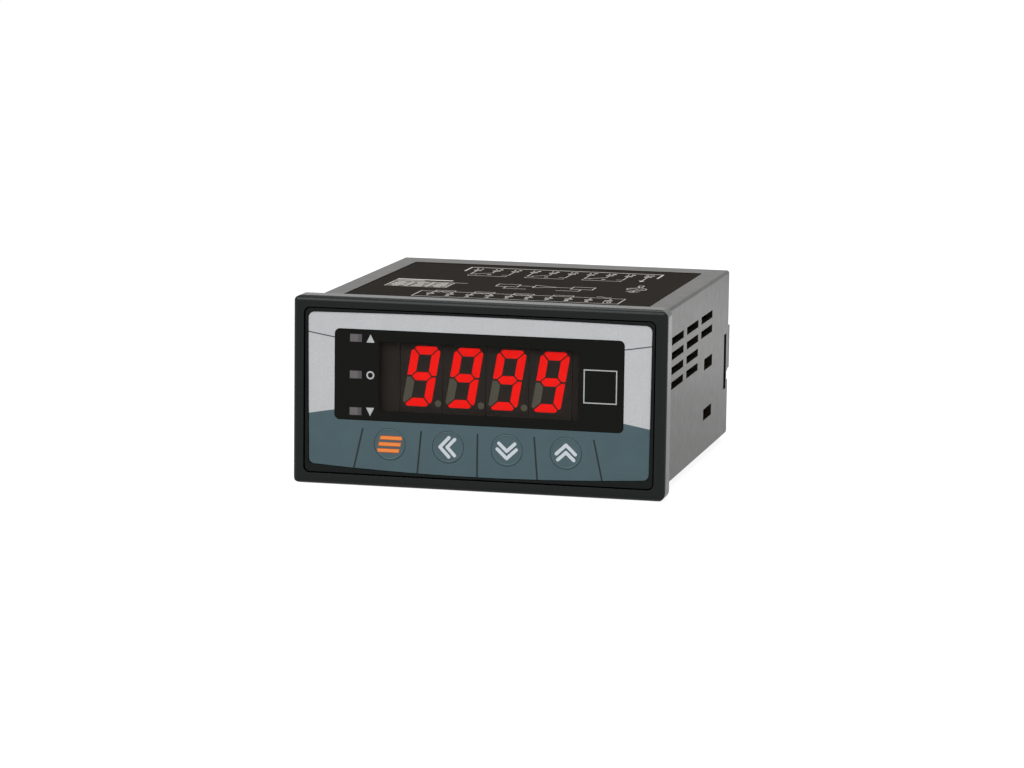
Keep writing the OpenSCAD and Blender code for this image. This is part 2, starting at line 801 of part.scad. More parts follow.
module relay(i) {
    y0 = y_block - tail_len - relay_air - relay_len;
    color("#1b1c1f") translate([(i - 1) * relay_pitch, y0 + relay_len / 2, 0])
        layer(z_board - board_t - relay_h, z_board - board_t) rounded_rect(relay_w, relay_len, 0.5);
}

// Centre leg and both windows of the laminated core, seen along Y.
module transformer_core() {
    gap_w = (core_w - 2 * core_leg - core_centre) / 2;
    color("#6b6d70") translate([transformer_x, y_boards + transformer_y, -z_board + board_t + core_h / 2])
        slab(-core_stack / 2, core_stack / 2) difference() {
            square([core_w, core_h], center = true);
            for (side = [-1, 1]) translate([side * (core_centre + gap_w) / 2, 0])
                square([gap_w, core_h - 2 * core_leg], center = true);
        }
}

// Winding on its bobbin: a flange at the top and at the bottom, and the wound body between them.
module transformer_coil() {
    w = core_w - 2 * core_leg - 2 * core_gap;
    h = core_h - 2 * core_leg - 2 * core_gap;
    d = core_stack + 2 * coil_build;
    color("#c8a648") translate([transformer_x, y_boards + transformer_y, -z_board + board_t + core_h / 2])
        difference() {
            union() {
                for (z0 = [-h / 2, h / 2 - bobbin_t]) layer(z0, z0 + bobbin_t) square([w, d], center = true);
                layer(-h / 2 + bobbin_t, h / 2 - bobbin_t)
                    rounded_rect(w - bobbin_t, d - 2 * bobbin_t, bobbin_t);
            }
            layer(-h, h) square([core_centre + 2 * core_gap, core_stack + 2 * core_gap], center = true);
        }
}

// Round can with a bead rolled in near its foot.
module capacitor(i) {
    r = capacitor_d / 2;
    foot = 3 * bead;
    color("#2a3a55") translate([-capacitor_x, y_boards + capacitor_y + i * capacitor_pitch, -z_board + board_t])
        rotate_extrude() polygon([[0, 0], [r, 0], [r, foot], [r - bead, foot + bead], [r, foot + 2 * bead],
            [r, capacitor_h - bead], [r - bead, capacitor_h], [0, capacitor_h]]);
}

// ---- rear cover and terminals ----

module at_terminals() {
    for (k = [0:terminal_count - 1])
        translate([(k - (terminal_count - 1) / 2) * terminal_pitch, 0, 0]) children();
}

module rear_cover() {
    arm_h = latch_h - 2 * fit_gap;
    side_x = inner_w / 2 - fit_gap;
    color("#2c2e2f") difference() {
        union() {
            slab(y_cover - cover_t, y_cover) rounded_rect(2 * side_x, inner_h - 2 * fit_gap, inner_r);
            bar(0, bar_z, 2 * side_x, bar_h, y_cover - cover_t, case_len + bar_reach);
            bar(0, bar_z, case_w - 2 * fit_gap, bar_h, case_len + fit_gap, case_len + bar_reach);
            for (side = [-1, 1]) {
                bar(side * (side_x - arm_t / 2), latch_z, arm_t, arm_h, y_latch + fit_gap, y_cover);
                bar(side * (side_x + hook_reach / 2 - arm_t / 4), latch_z, hook_reach + arm_t / 2, arm_h,
                    y_latch + fit_gap, y_latch + latch_len - fit_gap);
            }
        }
        for (sz = [-1, 1])
            bar(0, sz * z_block, block_w + 2 * fit_gap, block_h + 2 * fit_gap, y_latch - eps,
                y_cover + eps);
    }
}

// Terminal block with one pocket, one screw hole and one tail slot for each terminal.
module terminal_block() {
    tail_z = z_board - board_t - contact_t / 2;
    translate([0, 0, z_block]) color("#1e2021") difference() {
        bar(0, 0, block_w, block_h, y_block, y_cover);
        at_terminals() {
            bar(0, 0, terminal_pitch - barrier_t, pocket_h, y_floor, y_cover + eps);
            rod(0, 0, terminal_hole_r, y_block + contact_t, y_floor + eps);
            bar(0, tail_z - z_block, tail_w + 2 * screw_gap, contact_t + 2 * screw_gap,
                y_block - eps, y_floor + eps);
        }
    }
}

module contacts() {
    tail_z = z_board - board_t - contact_t / 2;
    color("#c9b27a") at_terminals() difference() {
        union() {
            bar(0, z_block, terminal_pitch - barrier_t - clamp_air, pocket_h - clamp_air,
                y_floor, y_floor + contact_t);
            bar(0, tail_z, tail_w, contact_t, y_block - tail_len, y_floor + contact_t);
        }
        rod(0, z_block, terminal_hole_r, y_floor - eps, y_floor + contact_t + eps);
    }
}

module clamps() {
    y0 = y_floor + contact_t;
    color("#b9bcbf") at_terminals() difference() {
        bar(0, z_block, clamp_w, clamp_w + clamp_air, y0, y0 + clamp_t);
        rod(0, z_block, terminal_hole_r, y0 - eps, y0 + clamp_t + eps);
    }
}

module terminal_screws() {
    y0 = y_floor + contact_t + clamp_t;
    slot_w = 0.3 * terminal_head_r;
    color("#c4c6c8") at_terminals() difference() {
        union() {
            rod(0, z_block, terminal_head_r, y0, y0 + terminal_head_t);
            rod(0, z_block, terminal_screw_r, y0 - terminal_shank, y0 + terminal_head_t / 2);
        }
        for (turn = [0, 90]) translate([0, 0, z_block]) rotate([0, turn, 0])
            bar(0, 0, slot_w, 4 * slot_w, y0 + terminal_head_t / 2, y0 + terminal_head_t + eps);
    }
}

case();
bezel();
front_plate();
face_film();
display_window();
top_label();
key_pad(0);  // mode_pad
key_pad(1);  // left_pad
key_pad(2);  // down_pad
key_pad(3);  // up_pad
key_plunger(0);  // mode_plunger
key_plunger(1);  // left_plunger
key_plunger(2);  // down_plunger
key_plunger(3);  // up_plunger
key_switch(0);  // mode_switch
key_switch(1);  // left_switch
key_switch(2);  // down_switch
key_switch(3);  // up_switch
key_stem(0);  // mode_stem
key_stem(1);  // left_stem
key_stem(2);  // down_stem
key_stem(3);  // up_stem
digit(0);  // digit_1
digit(1);  // digit_2
digit(2);  // digit_3
digit(3);  // digit_4
digit_lit(0);  // digit_1_lit
digit_lit(1);  // digit_2_lit
digit_lit(2);  // digit_3_lit
digit_lit(3);  // digit_4_lit
unlit_segments();
display_mask();
indicator(1);  // indicator_upper
indicator(0);  // indicator_middle
indicator(-1);  // indicator_lower
indicator_lamps();
display_board();
controller_chip();
board_screws();
header(1);  // upper_header
header(-1);  // lower_header
long_board(1);  // relay_board
long_board(-1);  // power_board
relay(0);  // relay_1
relay(1);  // relay_2
relay(2);  // relay_3
transformer_core();
transformer_coil();
capacitor(0);  // capacitor_front
capacitor(1);  // capacitor_rear
converter_chip();
rear_cover();
terminal_block();  // terminal_block_upper
mirror([0, 0, 1]) terminal_block();  // terminal_block_lower
contacts();  // contacts_upper
mirror([0, 0, 1]) contacts();  // contacts_lower
clamps();  // clamps_upper
mirror([0, 0, 1]) clamps();  // clamps_lower
terminal_screws();  // terminal_screws_upper
mirror([0, 0, 1]) terminal_screws();  // terminal_screws_lower
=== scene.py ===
"""Dresses the digital panel meter and puts it in a plain studio.

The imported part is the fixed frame. Sizes are in millimetres, as in the part's source, and places
come from the boxes of its nodes. Blender's own values are in metres.
"""
from __future__ import annotations

import logging
import math
from collections.abc import Callable, Mapping, Sequence
from dataclasses import dataclass, field
from enum import Enum
from typing import Any, ClassVar, Union

import bmesh
import bpy
from mathutils import Matrix, Vector


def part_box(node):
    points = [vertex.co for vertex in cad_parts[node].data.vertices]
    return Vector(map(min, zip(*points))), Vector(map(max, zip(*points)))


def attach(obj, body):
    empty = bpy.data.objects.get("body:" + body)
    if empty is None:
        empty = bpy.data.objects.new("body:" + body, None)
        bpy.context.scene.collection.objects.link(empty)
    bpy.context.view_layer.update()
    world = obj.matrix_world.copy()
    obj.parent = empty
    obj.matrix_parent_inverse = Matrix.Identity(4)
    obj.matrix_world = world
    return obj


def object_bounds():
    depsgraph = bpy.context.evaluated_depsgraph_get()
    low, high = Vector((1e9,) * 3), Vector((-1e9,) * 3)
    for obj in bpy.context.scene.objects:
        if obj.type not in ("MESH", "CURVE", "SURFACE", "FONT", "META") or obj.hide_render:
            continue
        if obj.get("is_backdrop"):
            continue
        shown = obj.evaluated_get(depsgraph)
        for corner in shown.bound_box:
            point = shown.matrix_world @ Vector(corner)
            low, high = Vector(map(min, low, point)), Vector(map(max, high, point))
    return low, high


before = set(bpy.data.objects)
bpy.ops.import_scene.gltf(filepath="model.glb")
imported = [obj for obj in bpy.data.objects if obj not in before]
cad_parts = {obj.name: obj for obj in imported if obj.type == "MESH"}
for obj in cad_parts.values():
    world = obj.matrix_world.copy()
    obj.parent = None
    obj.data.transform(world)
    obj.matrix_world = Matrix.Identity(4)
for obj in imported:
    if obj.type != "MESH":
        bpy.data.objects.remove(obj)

LOG = logging.getLogger("panel_meter")
MM = 0.001
Point = tuple[float, float]
Colour = tuple[float, float, float, float]


def srgb(red: float, green: float, blue: float) -> Colour:
    """Turns a screen colour into the linear colour that the shaders take.

    Args:
        red: Red from 0 to 255.
        green: Green from 0 to 255.
        blue: Blue from 0 to 255.

    Returns:
        The linear colour with an opaque fourth value.
    """
    linear = [
        ((c / 255 + 0.055) / 1.055) ** 2.4 if c > 10 else c / 255 / 12.92 for c in (red, green, blue)
    ]
    return (linear[0], linear[1], linear[2], 1.0)


@dataclass(frozen=True)
class Box:
    """The box of a CAD node in millimetres."""

    low: Vector
    high: Vector

    @classmethod
    def of(cls, node: str) -> Box:
        """Measures a CAD node at rest."""
        low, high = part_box(node)
        return cls(low / MM, high / MM)

    @property
    def middle(self) -> Vector:
        """Centre of the box."""
        return (self.low + self.high) / 2

    @property
    def size(self) -> Vector:
        """Lengths of the box's edges."""
        return self.high - self.low


def placed(name: str, data: bpy.types.ID) -> bpy.types.Object:
    """Makes an object and puts it in the scene.

    Args:
        name: Its name.
        data: Its mesh, light or camera.

    Returns:
        The object.
    """
    made = bpy.data.objects.new(name, data)
    bpy.context.scene.collection.objects.link(made)
    return made


# ---- shader maths ----


def operator(operation: str, swapped: bool = False) -> Callable[[Field, Number], Field]:
    """Makes an operator of Field that takes another value.

    Args:
        operation: Operation of the Math node that it adds.
        swapped: Whether the other value comes first, as in a reflected operator.

    Returns:
        The operator.
    """

    def apply(self: Field, other: Number) -> Field:
        """Adds the Math node."""
        values = (other, self) if swapped else (self, other)
        return self._math(operation, *values)

    return apply


class Field:
    """A number that changes over a surface. Operators on it add Math nodes to its shader."""

    def __init__(self, shader: Shader, socket: bpy.types.NodeSocket) -> None:
        """Keeps the socket that gives the number, and the shader that it belongs to."""
        self.shader = shader
        self.socket = socket

    def _math(self, operation: str, *values: Number) -> Field:
        """Adds one Math node.

        Args:
            operation: The node's operation.
            values: What its sockets take, in order.

        Returns:
            The node's result.
        """
        node = self.shader.node("ShaderNodeMath", {"operation": operation}, dict(enumerate(values)))
        return Field(self.shader, node.outputs[0])

    __add__ = __radd__ = operator("ADD")
    __sub__ = operator("SUBTRACT")
    __rsub__ = operator("SUBTRACT", swapped=True)
    __mul__ = __rmul__ = operator("MULTIPLY")
    __truediv__ = operator("DIVIDE")
    __rtruediv__ = operator("DIVIDE", swapped=True)
    __mod__ = operator("FLOORED_MODULO")
    most = operator("MAXIMUM")

    def __abs__(self) -> Field:
        """abs(self)"""
        return self._math("ABSOLUTE", self)

    def over(self, edge: Number, blur: float = 0.03) -> Field:
        """Mask that is 1 where self is above an edge.

        Args:
            edge: The value at the edge.
            blur: Half the width over which the mask goes from 0 to 1.

        Returns:
            The mask, from 0 to 1.
        """
        node = self.shader.node(
            "ShaderNodeMapRange",
            {"interpolation_type": "SMOOTHSTEP"},
            {"Value": self - edge, "From Min": -blur, "From Max": blur},
        )
        return Field(self.shader, node.outputs[0])

    def near(self, middle: Number, half: float, blur: float = 0.03) -> Field:
        """Mask that is 1 within half of a middle value."""
        return 1 - abs(self - middle).over(half, blur)


Number = Union[Field, float]


class Shader:
    """A node tree, with one way to add a node and a few common fields."""

    def __init__(self, tree: bpy.types.NodeTree) -> None:
        """Empties the tree, which belongs to a material or to the world."""
        self.tree = tree
        tree.nodes.clear()

    def node(
        self,
        kind: str,
        settings: Mapping[str, Any] | None = None,
        inputs: Mapping[str | int, Any] | None = None,
    ) -> bpy.types.Node:
        """Adds a node.

        Args:
            kind: The node's type.
            settings: Properties that are set first; "stops" holds a ramp's places and colours.
            inputs: Values or links of its sockets, by name or number.

        Returns:
            The new node.
        """
        made = self.tree.nodes.new(kind)
        for name, value in (settings or {}).items():
            if name == "stops":
                elements = made.color_ramp.elements
                for _ in value[len(elements):]:
                    elements.new(1.0)
                for element, (place, colour) in zip(elements, value):
                    element.position = place
                    element.color = colour
            else:
                setattr(made, name, value)
        for name, value in (inputs or {}).items():
            if isinstance(value, Field):
                value = value.socket
            if isinstance(value, bpy.types.NodeSocket):
                self.tree.links.new(value, made.inputs[name])
            else:
                made.inputs[name].default_value = value
        return made

    def place(self) -> tuple[Field, Field, Field]:
        """Where the surface point is in the part's frame, in millimetres."""
        split = self.node("ShaderNodeSeparateXYZ", {}, {0: self.coordinates()})
        x, y, z = (Field(self, socket) / MM for socket in split.outputs)
        return x, y, z

    def coordinates(self) -> bpy.types.NodeSocket:
        """Object coordinates, which are the part's frame because its nodes sit at the origin."""
        return self.node("ShaderNodeTexCoord").outputs["Object"]

    def stretched(self, amounts: Sequence[float]) -> bpy.types.NodeSocket:
        """Object coordinates multiplied along X, Y and Z."""
        settings = {"operation": "MULTIPLY"}
        node = self.node("ShaderNodeVectorMath", settings, {0: self.coordinates(), 1: tuple(amounts)})
        return node.outputs[0]

    def noise(self, size: float, detail: float = 3.0, amounts: Sequence[float] = (1, 1, 1)) -> Field:
        """Cloudy noise.

        Args:
            size: Width of its patches in millimetres.
            detail: How many finer layers it has.
            amounts: How much it is squeezed along X, Y and Z.

        Returns:
            The noise, from 0 to 1 and mostly near 0.5.
        """
        inputs = {"Vector": self.stretched(amounts), "Scale": 1 / (size * MM), "Detail": detail}
        return Field(self, self.node("ShaderNodeTexNoise", {}, inputs).outputs[0])

    def cells(self, size: float) -> Field:
        """Distance to the nearest of many scattered points, for flakes and grains."""
        inputs = {"Vector": self.coordinates(), "Scale": 1 / (size * MM)}
        return Field(self, self.node("ShaderNodeTexVoronoi", {}, inputs).outputs["Distance"])

    def mix(self, mask: Number, first: Any, second: Any) -> bpy.types.NodeSocket:
        """Colour that goes from the first to the second as the mask goes from 0 to 1."""
        factor, first_colour, second_colour = 0, 6, 7
        inputs = {factor: mask, first_colour: first, second_colour: second}
        return self.node("ShaderNodeMix", {"data_type": "RGBA"}, inputs).outputs[2]

    def bump(self, height: Field, depth: float, edge: float) -> bpy.types.NodeSocket:
        """Surface direction with a relief and with softened edges.

        Args:
            height: The relief, from 0 to 1.
            depth: What a height of 1 is in millimetres.
            edge: Radius of the softened edges in millimetres.

        Returns:
            The direction.
        """
        soft = self.node("ShaderNodeBevel", {"samples": 4}, {"Radius": edge * MM}).outputs[0]
        inputs = {"Height": height, "Distance": depth * MM, "Strength": 1.0, "Normal": soft}
        return self.node("ShaderNodeBump", {}, inputs).outputs[0]


def shade(colour: Colour, amount: float) -> Colour:
    """The same colour, lighter for an amount above 1 and darker below it."""
    return (colour[0] * amount, colour[1] * amount, colour[2] * amount, 1.0)


# ---- finishes ----


@dataclass(frozen=True)
class Finish:
    """A finish in one colour: it wanders a little, has a fine grain, and its edges are soft.

    Attributes:
        name: Name of the material.
        colour: Its colour.
        roughness: Its roughness.
        grain: Width of the grain in millimetres.
        depth: Depth of the grain in millimetres.
        edge: Radius of the softened edges in millimetres.
        wander: Share by which colour and roughness wander.
        index: Index of refraction, which sets how much a smooth surface reflects.
        metallic: 1 for a metal.
        constants: Other sockets that are the same all over, with their values.
        made: The materials made so far, by name.
    """

    made: ClassVar[dict[str, bpy.types.Material]] = {}

    name: str
    colour: Colour
    roughness: float = 0.42
    grain: float = 0.22
    depth: float = 0.006
    edge: float = 0.12
    wander: float = 0.12
    index: float = 1.3
    metallic: float = 0.0
    constants: tuple[tuple[str, Any], ...] = ()

    def wandering(self, shader: Shader, colour: Colour) -> bpy.types.NodeSocket:
        """The colour, a little darker and lighter from place to place."""
        clouds = shader.noise(6.0, 4.0)
        return shader.mix(clouds, shade(colour, 1 - self.wander), shade(colour, 1 + self.wander))

    def relief(self, shader: Shader) -> Field:
        """Height of the surface's grain, from 0 to 1."""
        return shader.noise(self.grain, 2.0)

    def surface(self, shader: Shader) -> dict[str, Any]:
        """Sockets of the surface that change from place to place.

        Args:
            shader: The shader to add nodes to.

        Returns:
            What each socket takes.
        """
        gloss = self.roughness * (1 - self.wander + 2 * self.wander * shader.noise(3.0))
        return {"Base Color": self.wandering(shader, self.colour), "Roughness": gloss}

    def patched(self, shader: Shader, mask: Number, colour: Colour) -> dict[str, Any]:
        """The plain finish, with another colour where a mask is 1.

        Args:
            shader: The shader to add nodes to.
            mask: The mask.
            colour: The other colour.

        Returns:
            What each socket takes.
        """
        inputs = Finish.surface(self, shader)
        inputs["Base Color"] = shader.mix(mask, inputs["Base Color"], colour)
        return inputs

    def material(self) -> bpy.types.Material:
        """The material, which is made when it is first asked for."""
        if self.name in Finish.made:
            return Finish.made[self.name]
        material = bpy.data.materials.new(self.name)
        material.use_nodes = True
        shader = Shader(material.node_tree)
        inputs = {"IOR": self.index, "Metallic": self.metallic, **dict(self.constants)}
        inputs["Normal"] = shader.bump(self.relief(shader), self.depth, self.edge)
        inputs.update(self.surface(shader))
        surface = shader.node("ShaderNodeBsdfPrincipled", {}, inputs)
        shader.node("ShaderNodeOutputMaterial", {}, {"Surface": surface.outputs[0]})
        Finish.made[self.name] = material
        return material


@dataclass(frozen=True)
class Moulding(Finish):
    """Moulded plastic: fine spark-eroded grain, with faint flow marks and a little dust."""

    dust: Colour = srgb(120, 118, 112)
    dusty: float = 0.02

    def relief(self, shader: Shader) -> Field:
        """Even grain with finer pits in it."""
        return 0.7 * shader.noise(self.grain, 2.0) + 0.3 * shader.cells(self.grain / 2)

    def surface(self, shader: Shader) -> dict[str, Any]:
        """Adds specks of dust to the plain finish."""
        specks = shader.noise(0.5, 5.0).over(0.66, 0.05) * shader.noise(9.0).over(0.45, 0.2)
        return self.patched(shader, self.dusty * specks, self.dust)


@dataclass(frozen=True)
class Metal(Finish):
    """Metal with drawn or turned marks along one direction."""

    metallic: float = 1.0
    roughness: float = 0.32
    marks: tuple[float, float, float] = (1.0, 0.08, 1.0)

    def relief(self, shader: Shader) -> Field:
        """Long fine marks."""
        return shader.noise(self.grain, 3.0, self.marks)

    def surface(self, shader: Shader) -> dict[str, Any]:
        """Adds dull patches along the marks."""
        inputs = super().surface(shader)
        streaks = shader.noise(1.2, 4.0, self.marks)
        inputs["Roughness"] = self.roughness * (0.75 + 0.5 * streaks)
        return inputs


@dataclass(frozen=True)
class Print(Finish):
    """Screen-printed ink, with the faint mottle of the screen."""

    roughness: float = 0.55
    depth: float = 0.002
    edge: float = 0.01
    wander: float = 0.05

    def surface(self, shader: Shader) -> dict[str, Any]:
        """Adds the mottle."""
        mottle = 0.5 * shader.noise(0.18, 1.0).over(0.6, 0.2)
        return self.patched(shader, mottle, shade(self.colour, 0.82))


@dataclass(frozen=True)
class SilverPrint(Finish):
    """Face film: silver with fine flakes above a curved edge, blue-grey below it, and thin lines.

    Attributes:
        lower: Colour of the lower field.
        line: Colour of the lines.
        edge_z: Height of the lower field's edge on the centre line.
        edge_curve: How fast that edge falls to the sides.
        line_z: Height on the centre line of the curve that the upper thin line lies on.
        line_curve: How fast that curve rises to the sides.
        line_half: Half the width of the upper thin line.
        window_half: Half the window's width, inside which the upper line isn't drawn.
        divider_top: Height at which the dividers between the keys start.
        divider_bottom: Height at which they reach the film's lower edge.
        dividers: Distance of each pair of dividers from the centre line, at the top and the bottom.
        divider_half: Half the width of a divider.
    """

    lower: Colour = srgb(69, 88, 93)
    line: Colour = srgb(28, 34, 38)
    edge_z: float = -1.75
    edge_curve: float = 0.00219
    line_z: float = 10.9
    line_curve: float = 0.00201
    line_half: float = 0.15
    window_half: float = 37.1
    divider_top: float = -9.2
    divider_bottom: float = -20.2
    dividers: tuple[Point, ...] = ((0.0, 0.0), (14.55, 15.5), (29.75, 32.2))
    divider_half: float = 0.23

    def surface(self, shader: Shader) -> dict[str, Any]:
        """Prints the two fields, their flakes and the lines."""
        x, _, z = shader.place()
        side = abs(x)
        below = (self.edge_z - self.edge_curve * x * x - z).over(0.0)
        flakes = shader.cells(0.16).over(0.42, 0.3)
        silver = shader.mix(flakes, self.wandering(shader, self.colour), shade(self.colour, 0.8))
        colour = shader.mix(below, silver, self.wandering(shader, self.lower))
        upper = z.near(self.line_z + self.line_curve * x * x, self.line_half) * side.over(self.window_half)
        marks = upper * 0.9
        fall = (self.divider_top - z) / (self.divider_top - self.divider_bottom)
        for top, bottom in self.dividers:
            middle = top + (bottom - top) * fall
            marks = marks.most(side.near(middle, self.divider_half) * (1 - z.over(self.divider_top)))
        colour = shader.mix(marks, colour, self.line)
        gloss = self.roughness + 0.08 * below + 0.1 * (shader.noise(2.0) - 0.5)
        return {"Base Color": colour, "Roughness": gloss, "Metallic": 0.25 * (1 - below.most(marks))}


@dataclass(frozen=True)
class SmokedPane(Finish):
    """Acrylic pane with a black border printed on it, a smoked lens and milky small windows with painted
    shade on their right part.

    Attributes:
        lens_colour: Tint of the smoked lens.
        lamp_colour: Grey of the small windows.
        lens: Low and high corner of the lens, in X and Z.
        lamps: Centres of the small windows over the indicators.
        lamp_size: Width and height of a small window.
        front: Place of the pane's front face along Y.
        smoke: Share of light that the lens holds back.
        clear: Share of light that a small window holds back.
    """

    lens_colour: Colour = srgb(8, 6, 6)
    lamp_colour: Colour = srgb(104, 101, 103)
    lens: tuple[Point, Point] = ((0.0, 0.0), (0.0, 0.0))
    lamps: tuple[Point, ...] = ()
    lamp_size: Point = (3.0, 2.0)
    front: float = 0.0
    smoke: float = 0.3
    clear: float = 0.9

    def surface(self, shader: Shader) -> dict[str, Any]:
        """Opens the border where the lens and the small windows are, and darkens each window's right part
        with painted shade.
        """
        x, y, z = shader.place()
        (left, low), (right, high) = self.lens
        lens = x.near((left + right) / 2, (right - left) / 2) * z.near((low + high) / 2, (high - low) / 2)
        windows = lens * 0.0
        for lamp_x, lamp_z in self.lamps:
            window = x.near(lamp_x, self.lamp_size[0] / 2) * z.near(lamp_z, self.lamp_size[1] / 2)
            windows = windows.most(window)
        held = 1 - (1 - self.smoke) * lens - (1 - self.clear) * windows
        colour = shader.mix(lens, self.wandering(shader, self.colour), self.lens_colour)
        # Painted shade: the right part of each small window is darker, standing in for less light from the
        # indicator behind it.
        painted_shade_mask = 0.8 * (x - self.lamps[0][0]).over(self.lamp_size[0] / 6, 0.25)
        window_grey_with_painted_shade = shader.mix(painted_shade_mask, self.wandering(shader, self.lamp_colour), shade(self.lamp_colour, 0.62))
        colour = shader.mix(windows, colour, window_grey_with_painted_shade)
        gloss = self.roughness * (0.85 + 0.3 * shader.noise(4.0))
        return {"Base Color": colour, "Roughness": gloss, "Alpha": held * (1 - y.over(self.front + 0.4))}


@dataclass(frozen=True)
class Glow(Finish):
    """Coloured resin that is lit from behind, a little brighter in the middle of each patch."""

    emission: Colour = srgb(238, 24, 18)

    def surface(self, shader: Shader) -> dict[str, Any]:
        """Adds the glow."""
        inputs = super().surface(shader)
        patches = shader.noise(1.6, 2.0)
        inputs["Emission Color"] = shader.mix(patches, shade(self.emission, 0.88), shade(self.emission, 1.08))
        return inputs


@dataclass(frozen=True)
class Banded(Finish):
    """A finish with even bands along one axis, such as laminations or turns of wire.

    Attributes:
        second: Colour between the bands.
        step: Distance from one band to the next in millimetres.
        share: Share of each step that the second colour takes.
        axis: Number of the axis that the bands follow each other along.
    """

    second: Colour = srgb(30, 30, 30)
    step: float = 0.5
    share: float = 0.25
    axis: int = 1

    def bands(self, shader: Shader) -> Field:
        """Mask that is 1 between two bands."""
        place = shader.place()[self.axis]
        return (place % self.step).near(self.step / 2, self.step * self.share / 2, self.step * 0.1)

    def relief(self, shader: Shader) -> Field:
        """Grain with a groove between two bands."""
        return 0.3 * shader.noise(self.grain, 2.0) + 0.7 * (1 - self.bands(shader))

    def surface(self, shader: Shader) -> dict[str, Any]:
        """Adds the bands' second colour."""
        return self.patched(shader, self.bands(shader), self.second)


@dataclass(frozen=True)
class SolderMask(Finish):
    """Circuit board: green mask over raised copper tracks.

    Attributes:
        track: Colour of the mask over a track.
        step: Distance between two tracks in millimetres.
        upright: Whether the board stands across the meter instead of lying along it.
    """

    track: Colour = srgb(52, 128, 84)
    step: float = 2.2
    upright: bool = False

    def tracks(self, shader: Shader) -> Field:
        """Mask that is 1 on a track."""
        x, y, z = shader.place()
        across = z if self.upright else y
        bends = 1.6 * shader.noise(7.0, 0.0).over(0.5, 0.02)
        lines = ((across + bends) % self.step).near(self.step / 2, 0.3)
        columns = ((x - bends) % (self.step * 2)).near(self.step, 0.3)
        share = shader.noise(11.0, 1.0).over(0.5, 0.01)
        return lines * share + columns * (1 - share)

    def relief(self, shader: Shader) -> Field:
        """Mask that is thicker on the tracks."""
        return 0.2 * shader.noise(self.grain, 2.0) + 0.8 * self.tracks(shader)

    def surface(self, shader: Shader) -> dict[str, Any]:
        """Lightens the mask over the tracks."""
        return self.patched(shader, self.tracks(shader), self.track)


@dataclass(frozen=True)
class Sleeve(Finish):
    """Shrunk sleeve of a capacitor, with its pale stripe.

    Attributes:
        stripe: Colour of the stripe.
        stripe_x: Middle of the stripe across the meter.
        stripe_half: Half its width.
    """

    stripe: Colour = srgb(190, 196, 205)
    stripe_x: float = 0.0
    stripe_half: float = 1.1

    def surface(self, shader: Shader) -> dict[str, Any]:
        """Adds the stripe."""
        stripe = shader.place()[0].near(self.stripe_x, self.stripe_half)
        return self.patched(shader, stripe, self.stripe)


class Palette:
    """The finishes that more than one sub-assembly uses, or that have no sizes of their own."""

    NO_SHEEN = (("Specular IOR Level", 0.04),)
    BRIGHT = (("Emission Strength", 1.08),)
    FINE = {"grain": 0.16, "depth": 0.003}
    BOARD = {"roughness": 0.35, "depth": 0.03}

    case = Moulding("case_black", srgb(27, 24, 20), roughness=0.34, index=1.25)
    bezel = Moulding("bezel_black", srgb(15, 20, 19), roughness=0.27, index=1.25, **FINE)
    plate = Moulding("plate_black", srgb(14, 18, 17), roughness=0.34, index=1.2, **FINE)
    cover = Moulding("cover_black", srgb(18, 19, 19), roughness=0.42, index=1.33)
    terminal = Moulding("terminal_black", srgb(20, 21, 22), roughness=0.34, grain=0.3, index=1.36)
    label = Print("label_black", srgb(30, 27, 23), roughness=0.85, constants=NO_SHEEN)
    label_ink = Print("label_ink", srgb(196, 194, 188), roughness=0.75, constants=NO_SHEEN)
    key = Finish("key_blue_grey", srgb(69, 88, 93), roughness=0.46, depth=0.003, edge=0.05)
    mode_ink = Print("mode_orange", srgb(232, 134, 64))
    mode_shadow = Print("mode_orange_edge", srgb(186, 82, 28))
    arrow_ink = Print("arrow_white", srgb(197, 204, 210))
    window_ink = Print("window_grey", srgb(174, 175, 176))
    figure_ink = Print("figure_grey", srgb(186, 186, 182))
    plunger = Finish("plunger_white", srgb(226, 226, 220), roughness=0.4)
    switch = Moulding("switch_black", srgb(34, 34, 36))
    stem = Finish("stem_ivory", srgb(203, 196, 180))
    digit = Moulding("digit_black", srgb(54, 48, 44), roughness=0.5, grain=0.12, depth=0.003, index=1.2)
    lit = Glow("lit_resin", srgb(170, 16, 12), depth=0.001, index=1.2, constants=BRIGHT)
    unlit = Finish("grey_resin", srgb(103, 100, 86), depth=0.001, edge=0.05)
    lens = Finish("indicator_mauve", srgb(118, 114, 120), depth=0.001)
    lamp = Finish("lamp_ivory", srgb(232, 222, 192))
    chip = Moulding("chip_black", srgb(36, 36, 38), roughness=0.5, grain=0.1)
    header = Moulding("header_black", srgb(28, 28, 28))
    relay = Moulding("relay_blue_black", srgb(26, 30, 38), roughness=0.3)
    board = SolderMask("board_green", srgb(30, 92, 58), **BOARD)
    upright_board = SolderMask("board_green_upright", srgb(30, 92, 58), upright=True, **BOARD)
    core = Banded("laminated_steel", srgb(122, 124, 128), metallic=0.8, second=srgb(60, 60, 62))
    coil = Banded(
        "wound_coil", srgb(206, 172, 74), step=1.4, share=0.1, second=srgb(150, 118, 44), axis=2
    )
    brass = Metal("brass_plate", srgb(206, 176, 108))
    zinc = Metal("bright_zinc", srgb(190, 192, 196), marks=(0.15, 1.0, 1.0))


# ---- flat shapes ----


def arc(centre: Vector, radius: float, start: float, sweep: float, steps: int = 5) -> list[Point]:
    """Points of an arc.

    Args:
        centre: Its centre.
        radius: Its radius.
        start: Its first angle in radians.
        sweep: The angle that it turns through.
        steps: How many chords it has.

    Returns:
        The points, with both ends.
    """
    angles = [start + sweep * k / steps for k in range(steps + 1)]
    return [(centre[0] + radius * math.cos(a), centre[1] + radius * math.sin(a)) for a in angles]


def circle(x: float, y: float, radius: float, steps: int = 24) -> list[Point]:
    """Points of a circle."""
    return arc(Vector((x, y)), radius, 0.0, 2 * math.pi, steps)[:-1]


